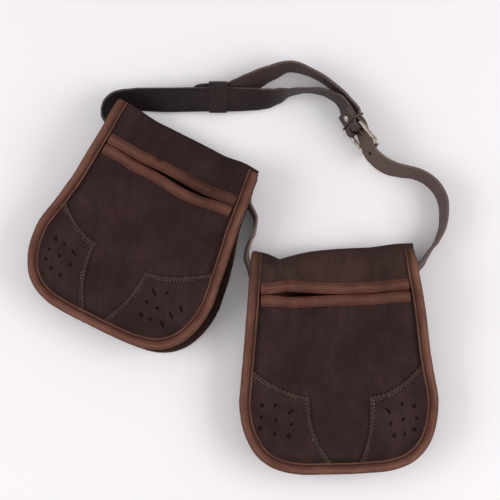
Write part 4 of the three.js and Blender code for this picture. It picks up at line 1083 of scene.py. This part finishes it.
def free_route(rows):
    """The strap's places and width ways along a free stretch, standing on its lower edge."""
    ground = np.array([row[:2] for row in rows], float)
    route = []
    for k, (x, y, hang, lean) in enumerate(rows):
        along = np.append(ground[min(k + 1, len(rows) - 1)] - ground[max(k - 1, 0)], 0)
        outward = np.cross(along / np.linalg.norm(along), UP)
        tilt = math.radians(lean)
        rest = BELT_HALF * math.cos(tilt) + STRAP / 2 * abs(math.sin(tilt)) + GAP
        route.append((np.array([x, y, rest + hang]) + SHIFT, leaning(tilt, outward)))
    return route


def tunnel_route(pouch):
    """The strap's places and width ways behind a pouch."""
    turn = math.radians(pouch["turn"])
    down = np.array([math.sin(turn), -math.cos(turn), 0])
    places = lay_down(pouch, np.array([(x, pouch["tall"] - pouch["belt_drop"], z) for x, z, _ in IN_TUNNEL]))
    return [(place, leaning(math.radians(row[2]), down)) for place, row in zip(places, IN_TUNNEL)]


fold_radius, flat_out = BUCKLE["wire"] + GAP + STRAP / 2, (STRAP + GAP) / 2
fold_back = [(-22, -flat_out), (-9, -flat_out), (-4.5, -fold_radius + 0.8)]
fold_back += [
    (fold_radius * math.cos(a), fold_radius * math.sin(a)) for a in np.radians([-90, -45, 0, 45, 90])
]
fold_back += [(-4.5, fold_radius - 0.8), (-9, flat_out), (-19, flat_out)]
under, over = -fold_radius, BUCKLE["wire"] + 3 * GAP + 1.5 * STRAP
tongue = [(40, under), (30, under), (15, (under + over) / 2), (0, over), (-8, over)]
route = [(by_fold(*place), BAR_ACROSS) for place in fold_back] + free_route(TOP_STRETCH)
route += tunnel_route(POUCHES[0]) + free_route(LINK_STRETCH) + tunnel_route(POUCHES[1])
route += free_route(RIGHT_STRETCH) + [(by_buckle(*place), BAR_ACROSS) for place in tongue]
route += free_route(TONGUE_STRETCH)
FADED = [
    (fold_back, 0.3, 0.3), (TOP_STRETCH, 0.18, -0.12), (IN_TUNNEL, 0.0, 0.7), (LINK_STRETCH, 1.0, 1.0),
    (IN_TUNNEL, 0.66, 0.6), (RIGHT_STRETCH, 0.5, 0.64), (tongue, 0.66, 0.5), (TONGUE_STRETCH, 0.64, 0.08),
]
fading = np.concatenate([np.linspace(first, last, len(stretch)) for stretch, first, last in FADED])
fading = np.clip(fading, 0, 1)


def belt_line(route, step):
    """Points along the strap, the way of its width and its place in the route, on a centripetal spline."""
    places = np.array([place for place, _ in route])
    ends = np.concatenate([[2 * places[0] - places[1]], places, [2 * places[-1] - places[-2]]])
    middles, widths, rows = [], [], []
    for k in range(len(places) - 1):
        p0, p1, p2, p3 = ends[k:k + 4]
        t0, t1, t2 = (np.linalg.norm(b - a) ** 0.5 for a, b in ((p0, p1), (p1, p2), (p2, p3)))
        leave = ((p1 - p0) / t0 - (p2 - p0) / (t0 + t1) + (p2 - p1) / t1) * t1
        reach = ((p2 - p1) / t1 - (p3 - p1) / (t1 + t2) + (p3 - p2) / t2) * t1
        count = max(3, round(np.linalg.norm(p2 - p1) / step))
        for at in np.arange(count) / count:
            middles.append(p1 + at * (leave + at * (-3 * p1 + 3 * p2 - 2 * leave - reach + at * (
                2 * p1 - 2 * p2 + leave + reach))))
            ease = at * at * (3 - 2 * at)
            widths.append(route[k][1] * (1 - ease) + route[k + 1][1] * ease)
            rows.append(k + at)
    middles, widths = np.array(middles + [places[-1]]), np.array(widths + [route[-1][1]])
    return middles, widths, np.array(rows + [len(route) - 1])


middles, widths, rows = belt_line(route, BELT_STEP)
along = unit(np.gradient(middles, axis=0))
widths = unit(widths - along * np.sum(widths * along, axis=1)[:, None])
faces_out = np.cross(along, widths)
run = run_along(middles)

edge_turn = np.radians([90, 60, 30, 0, -30, -60, -90])
across_half = np.array([0, 4, 8, 10.4, 11.2, 11.6, 12.0, 12.5])
crease = np.array([0, 0, 0, 0, -0.05, -0.3, -0.05, 0])
right_edge = np.stack([12.9 + 1.1 * np.cos(edge_turn), STRAP / 2 * np.sin(edge_turn)], 1)
upper_face = np.stack([across_half, STRAP / 2 + crease], 1)
half_loop = np.concatenate([upper_face, right_edge, (upper_face * [1, -1])[::-1]])
strap_section = np.concatenate([half_loop, (half_loop * [-1, 1])[::-1][1:-1]])[::-1]
sections = np.repeat(strap_section[None], len(middles), 0)
tip = np.clip((run[-1] - run) / TIP_LENGTH, 0, 1)
sections[..., 0] *= (0.7 + 0.3 * np.sqrt(1 - (1 - tip) ** 2))[:, None]
sections[..., 1] += wander(len(middles), BELT_STEP, 4.4, 11, 0.12)[:, None]
points, faces, lay = sweep(middles, widths, faces_out, sections)


def bridle_leather(name, dark, mid, light, paled, wear_and_highlight):
    """Waxed bridle leather, dense, satin and dark; bends paler, edges paler from wear and a painted
    highlight.
    """
    material, tree, shader = new_material(name)
    place = add(tree, "ShaderNodeTexCoord").outputs["Object"]
    # Clouds of 30 mm, scuffs of 5 mm, and grain and crackle drawn coarse, at 1.3 and 2.2 mm, to show
    cloud = add(tree, "ShaderNodeTexNoise", {
        "Vector": place, "Scale": 1 / 0.03, "Detail": 4, "Roughness": 0.6,
    }).outputs["Fac"]
    scuff = add(tree, "ShaderNodeTexNoise", {"Vector": place, "Scale": 1 / 0.005, "Detail": 4}).outputs["Fac"]
    grain = add(tree, "ShaderNodeTexNoise", {
        "Vector": place, "Scale": 1 / 0.0013, "Detail": 3,
    }).outputs["Fac"]
    crackle = add(tree, "ShaderNodeTexVoronoi", {
        "Vector": place, "Scale": 1 / 0.0022,
    }, feature="DISTANCE_TO_EDGE").outputs[0]
    tone = add(tree, "ShaderNodeValToRGB", {"Fac": cloud}, stops=[
        (0.3, colour(dark)), (0.5, colour(mid)), (0.72, colour(light)),
    ]).outputs[0]
    aged = tint_over(tree, tone, "faded", paled)
    tree.links.new(tint_over(tree, aged, "wear_and_highlight", wear_and_highlight, scuff), shader.inputs["Base Color"])
    relief = add(tree, "ShaderNodeMix", {0: 0.35, 2: grain, 3: crackle}, data_type="FLOAT").outputs[0]
    bump = add(tree, "ShaderNodeBump", {"Strength": 0.35, "Distance": 0.0004, "Height": relief})
    tree.links.new(bump.outputs[0], shader.inputs["Normal"])
    rough = add(tree, "ShaderNodeMapRange", {"Value": scuff, 1: 0.3, 2: 0.7, 3: 0.42, 4: 0.58})
    tree.links.new(rough.outputs[0], shader.inputs["Roughness"])
    shader.inputs["Specular IOR Level"].default_value = 0.2
    return material


bridle = bridle_leather("dark_bridle_leather", "#130b0d", "#1a1012", "#241718", "#69534d", "#8a7a74")
belt = make_piece("hunting_belt_strap", points, faces, bridle, lay)
mark(belt, "faded", np.repeat(np.interp(rows, np.arange(len(route)), fading), len(strap_section)))
# Painted paler along both edges: partly wear, partly a painted highlight on edges that face the lights.
mark(belt, "wear_and_highlight", 0.4 * smooth(np.abs(np.tile(strap_section[:, 0], len(middles))), 12.6, 13.6))


def cylinder(middle, way, radius, length, sides=20):
    """A plain round cutter along a direction."""
    way = np.asarray(way) / np.linalg.norm(way)
    first = np.cross(way, UP if abs(way[2]) < 0.9 else [1, 0, 0])
    first /= np.linalg.norm(first)
    second = np.cross(way, first)
    angle = np.linspace(0, 2 * math.pi, sides, endpoint=False)
    circle = radius * (np.cos(angle)[:, None] * first + np.sin(angle)[:, None] * second)
    points = np.concatenate([middle - way * length / 2 + circle, middle + way * length / 2 + circle])
    return points, tube_faces(points, 2, sides)


pierced = by_buckle(9.7, 3.5)
half_way = len(middles) // 2
nearest = half_way + int(np.argmin(np.linalg.norm(middles[half_way:] - pierced, axis=1)))
fold_way = by_fold(RIVET_AT, 1) - by_fold(RIVET_AT, 0)
cutters = [
    cylinder(by_fold(RIVET_AT, 0), fold_way, RIVET_HOLE, 3 * STRAP),
    cylinder(by_buckle(9.7, 2.5), BAR_FACE * 0.9 + BAR_ALONG * 0.3, HOLE_RADIUS, 9),
    cylinder(by_buckle(0, 0), BAR_ACROSS, BUCKLE["wire"] + 2 * GAP + STRAP, 4.0),
]
for count in (-1, 1, 2, 3):
    k = int(np.argmin(np.abs(run - run[nearest] - HOLE_PITCH * count)))
    cutters.append(cylinder(middles[k], faces_out[k], HOLE_RADIUS, 2 * STRAP))
for points, faces in cutters:
    cutter = make_piece("hole_punch", points, faces, bridle)
    punch = belt.modifiers.new("punch", "BOOLEAN")
    punch.operation, punch.solver, punch.object = "DIFFERENCE", "MANIFOLD", cutter
punched = bpy.data.meshes.new_from_object(belt.evaluated_get(bpy.context.evaluated_depsgraph_get()))
belt.modifiers.clear()
belt.data = punched
for spare in [o for o in bpy.data.objects if o.name.startswith("hole_punch")]:
    bpy.data.objects.remove(spare)
punched.set_sharp_from_angle(angle=math.radians(40))
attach(belt, "root")
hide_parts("belt")


# Belt tunnels: a plain strap of the same bridle leather lies across each back, over the belt. It is sewn
# down above and below the belt, which slides through it.

TUNNEL_REACH, TUNNEL_WALL = 36, 1.6
TUNNEL_LOW = 0.85  # the strap's middle layer where it lies on the table
tunnel_room, tunnel_sewn = BELT_HALF + 1.5, TUNNEL_RISE - GAP - TUNNEL_WALL / 2
half_tunnel = [
    (tunnel_room - 3, 0.8), (tunnel_room, TUNNEL_LOW),
    (tunnel_room + 3, tunnel_sewn), (tunnel_room + 6.5, tunnel_sewn),
]
other_half = [(-across, level) for across, level in half_tunnel[::-1]]
tunnel_line = spline(np.array(other_half + [(0, 0.8)] + half_tunnel), 4)
tunnel_line[:, 1] = np.maximum(tunnel_line[:, 1], TUNNEL_LOW)
for pouch in POUCHES:
    x = np.linspace(-TUNNEL_REACH, TUNNEL_REACH, 25)
    flat = np.stack([x, np.full_like(x, pouch["tall"] - pouch["belt_drop"]), np.zeros_like(x)], 1)
    ways = lay_down(pouch, np.array([[0, 1, 0], [0, 0, 0]]))
    inwards, outs = (np.repeat(way, len(x), 0) for way in (ways[:1] - ways[1:], UP[None]))
    sections = np.repeat(strip_section(tunnel_line, TUNNEL_WALL)[None], len(x), 0)
    points, faces, lay = sweep(lay_down(pouch, flat), inwards, outs, sections)
    tunnel = make_piece(pouch["name"] + "_belt_tunnel_strap", points, faces, bridle, lay)
    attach(tunnel, "root")
    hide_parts(pouch["name"] + "_belt_tunnel")


# Buckle: a ring of round steel wire with a bent wire prong and a loop of thinner wire behind it for the
# tongue end, all nickel plated and rubbed by use, and a domed rivet that closes the strap's fold.

def plated_steel(name, dim, bright):
    """Nickel plate over steel: warm, bright and mirror-like, clouded by fine scratches and dull in places."""
    material, tree, shader = new_material(name)
    place = add(tree, "ShaderNodeTexCoord").outputs["Object"]
    # Dull places of 7 mm, and scratches drawn coarse, at 1.2 mm, to show
    dull = add(tree, "ShaderNodeTexNoise", {
        "Vector": place, "Scale": 1 / 0.007, "Detail": 4, "Roughness": 0.65,
    }).outputs["Fac"]
    scratch = add(tree, "ShaderNodeTexNoise", {
        "Vector": place, "Scale": 1 / 0.0012, "Detail": 2,
    }).outputs["Fac"]
    tone = add(tree, "ShaderNodeValToRGB", {"Fac": dull}, stops=[(0.32, colour(dim)), (0.6, colour(bright))])
    tree.links.new(tone.outputs[0], shader.inputs["Base Color"])
    rough = add(tree, "ShaderNodeMapRange", {"Value": dull, 1: 0.3, 2: 0.65, 3: 0.55, 4: 0.34})
    tree.links.new(rough.outputs[0], shader.inputs["Roughness"])
    bump = add(tree, "ShaderNodeBump", {"Strength": 0.15, "Distance": 0.0002, "Height": scratch})
    tree.links.new(bump.outputs[0], shader.inputs["Normal"])
    shader.inputs["Metallic"].default_value = 1
    return material


nickel = plated_steel("worn_nickel_plate", "#7d7168", "#c6baad")
tarnished = plated_steel("tarnished_steel_wire", "#2e2723", "#5d534c")


def wire(places, radii, closed, normal, sides=16):
    """Round wire along a line of places that lie in a plane with the given normal."""
    places = np.asarray(places)
    along = np.roll(places, -1, 0) - np.roll(places, 1, 0) if closed else np.gradient(places, axis=0)
    along = unit(along)
    side = unit(np.cross(along, normal))
    other = np.cross(along, side)
    angle = np.linspace(0, 2 * math.pi, sides, endpoint=False)
    ringed = side[:, None] * np.cos(angle)[None, :, None] + other[:, None] * np.sin(angle)[None, :, None]
    points = (places[:, None] + ringed * np.asarray(radii)[:, None, None]).reshape(-1, 3)
    return points, tube_faces(points, len(places), sides, closed)


def bent_ring(near, far, half, corner, step):
    """A rectangle with rounded corners, as a closed line of even steps."""
    line = []
    for one, other, start in (
        (far - corner, half - corner, 0), (near + corner, half - corner, 90),
        (near + corner, -half + corner, 180), (far - corner, -half + corner, 270),
    ):
        for angle in np.radians(np.linspace(start, start + 90, 9)):
            line.append((one + corner * math.cos(angle), other + corner * math.sin(angle)))
    return even_steps(np.array(line + line[:1]), step)[:-1]


ring_line = bent_ring(0, BUCKLE["length"], BUCKLE["width"] / 2, BUCKLE["corner"], 1.2)
ring_places = [by_buckle(along, 0, across) for along, across in ring_line]
points, faces = wire(ring_places, np.full(len(ring_line), BUCKLE["wire"]), True, BAR_FACE)
buckle = make_piece("buckle_wire_ring", points, faces, nickel)
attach(buckle, "root")
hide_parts("buckle_frame")

PRONG_RADIUS = 1.4
prong_wrap = BUCKLE["wire"] + GAP + PRONG_RADIUS
prong_places = [
    by_buckle(prong_wrap * math.cos(a), prong_wrap * math.sin(a)) for a in np.radians(np.arange(300, 59, -40))
]
prong_places += [pierced, by_buckle(30, prong_wrap), by_buckle(33, prong_wrap)]
prong_line = even_steps(spline(np.array(prong_places), 8), 0.8)
prong_run = np.linspace(0, 1, len(prong_line))
taper = np.interp(prong_run, [0, 0.8, 0.96, 1], [PRONG_RADIUS, PRONG_RADIUS, 1.2, 0.7])
points, faces = wire(prong_line, taper, False, BAR_ACROSS, 14)
prong = make_piece("buckle_wire_prong", points, faces, tarnished)
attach(prong, "root")
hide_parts("buckle_prong")

LOOP_WIRE = 0.9
loop_clear = 0.8 + LOOP_WIRE
loop_line = bent_ring(-(STRAP + GAP / 2 + loop_clear), 7.81 + loop_clear, BELT_HALF + loop_clear, 2.0, 0.8)
loop_places = [by_fold(-8, out, across) for out, across in loop_line]
points, faces = wire(loop_places, np.full(len(loop_line), LOOP_WIRE), True, by_fold(1, 0) - by_fold(0, 0), 12)
loop = make_piece("buckle_wire_loop", points, faces, tarnished)
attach(loop, "root")
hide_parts("wire_loop")

RIVET_SIDES = 28
rivet_out = STRAP + GAP / 2 + GAP
dome = [(1.5, 1.1), (2.9, 0.8), (3.8, 0.3), (4, 0), (1.6, 0)]
rivet_profile = [(r, -rivet_out - level) for r, level in dome]
rivet_profile += [(r, rivet_out + level) for r, level in reversed(dome)]
angle = np.linspace(0, 2 * math.pi, RIVET_SIDES, endpoint=False)
points = np.array([
    by_fold(RIVET_AT + r * math.cos(a), level, r * math.sin(a)) for r, level in rivet_profile for a in angle
])
faces = tube_faces(points, len(rivet_profile), RIVET_SIDES)
rivet = make_piece("domed_rivet", points, faces, nickel)
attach(rivet, "root")
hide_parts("rivet")


# Keeper: a narrow loop of the bridle leather round the belt and its tongue end, so that the tongue lies
# flat. It is creased along both edges and closed on its hidden side.

KEEPER_WALL, KEEPER_HALF = 1.0, 9.4
keeper_middle = np.array([-35.5, 169.2, 13.6]) + SHIFT
keeper_across = leaning(math.radians(60), np.array([0, 1.0, 0]))
keeper_along = np.array([-1.0, 0, 0])
keeper_face = np.cross(keeper_along, keeper_across)
loop_line = bent_ring(-16.8, 16.9, 4.0, 1.3, 0.9)
loop_out = unit(np.roll(loop_line, -1, 0) - np.roll(loop_line, 1, 0)) @ [[0, -1], [1, 0]]
wall_turn = np.radians([60, 0, -60])
edge_round = np.stack([KEEPER_HALF + 0.6 * np.cos(wall_turn), 0.6 * np.sin(wall_turn)], 1)
face_across = np.array([-KEEPER_HALF, -8.2, -7.8, -7.4, -4, 0, 4, 7.4, 7.8, 8.2, KEEPER_HALF])
face_crease = np.array([-0.1, -0.05, -0.12, -0.05, 0, 0, 0, -0.05, -0.12, -0.05, -0.1])
keeper_section = np.concatenate([
    np.stack([face_across, KEEPER_WALL / 2 + face_crease], 1), edge_round,
    [[KEEPER_HALF, -KEEPER_WALL / 2], [-KEEPER_HALF, -KEEPER_WALL / 2]], -edge_round,
])
points = np.array([
    keeper_middle + keeper_across * (a + off * oa) + keeper_face * (d + off * od) + keeper_along * w
    for (a, d), (oa, od) in zip(loop_line, loop_out) for w, off in keeper_section
])
faces = tube_faces(points, len(loop_line), len(keeper_section), True)
keeper = make_piece("keeper_loop", points, faces, bridle)
# Painted paler along both edges: partly wear, partly a painted highlight.
edge_wear_and_highlight = 0.1 * smooth(np.abs(keeper_section[:, 0]), 9.3, 9.9)
mark(keeper, "wear_and_highlight", np.tile(edge_wear_and_highlight, len(loop_line)))
mark(keeper, "faded", np.full(len(points), 0.06))
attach(keeper, "root")
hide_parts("keeper")


# Studio: a pale matt table top, two broad soft lights low at the left and right, as on a copying stand,
# and the camera almost overhead.

def pale_table(name):
    """Matt white laminate: even and very pale, with the faintest cloudiness, 400 mm across."""
    material, tree, shader = new_material(name)
    place = add(tree, "ShaderNodeTexCoord").outputs["Object"]
    cloud = add(tree, "ShaderNodeTexNoise", {"Vector": place, "Scale": 1 / 0.4, "Detail": 2})
    tone = add(tree, "ShaderNodeValToRGB", {"Fac": cloud.outputs["Fac"]}, stops=[
        (0, colour("#edeaec")), (1, colour("#f2eff0")),
    ])
    tree.links.new(tone.outputs[0], shader.inputs["Base Color"])
    shader.inputs["Roughness"].default_value = 0.8
    shader.inputs["Specular IOR Level"].default_value = 0.1
    return material


TABLE_HALF = 4.0
table_mesh = bpy.data.meshes.new("table_top")
table_corners = [(x * TABLE_HALF, y * TABLE_HALF, 0) for x, y in ((-1, -1), (1, -1), (1, 1), (-1, 1))]
table_mesh.from_pydata(table_corners, [], [(0, 1, 2, 3)])
table_mesh.materials.append(pale_table("matt_white_table"))
table = bpy.data.objects.new("table_top", table_mesh)
bpy.context.scene.collection.objects.link(table)

for name, place, power in (
    ("softbox_left", (-1.8, -0.3, 1.25), 23.5), ("softbox_right", (1.8, -0.3, 1.25), 26.5),
):
    light = bpy.data.lights.new(name, "AREA")
    light.shape, light.size, light.size_y, light.energy = "RECTANGLE", 1.8, 1.1, power
    lamp = bpy.data.objects.new(name, light)
    lamp.location = place
    lamp.rotation_euler = (Vector((0, 0, 0)) - Vector(place)).to_track_quat("-Z", "Y").to_euler()
    bpy.context.scene.collection.objects.link(lamp)

world = bpy.data.worlds.new("studio")
world.use_nodes = True
sky = world.node_tree.nodes["Background"].inputs
sky["Color"].default_value, sky["Strength"].default_value = colour("#fbfafc"), 0.6
bpy.context.scene.world = world
bpy.context.scene.view_settings.view_transform = "Standard"

# The photograph's view: 1.3 m away, 82 degrees up, with a focal length of 1182 of the picture's 500 pixels
FOCAL, PICTURE, SENSOR = 1182, 500, 36
AWAY, RISE = 1.3, math.radians(82)
lens = bpy.data.cameras.new("overhead_camera")
lens.sensor_width = SENSOR
lens.lens = SENSOR * FOCAL / PICTURE
camera = bpy.data.objects.new("overhead_camera", lens)
camera.location = Vector(SHIFT / 1000) + AWAY * Vector((0, -math.cos(RISE), math.sin(RISE)))
camera.rotation_euler = (math.pi / 2 - RISE, 0, 0)
bpy.context.scene.collection.objects.link(camera)
bpy.context.scene.camera = camera
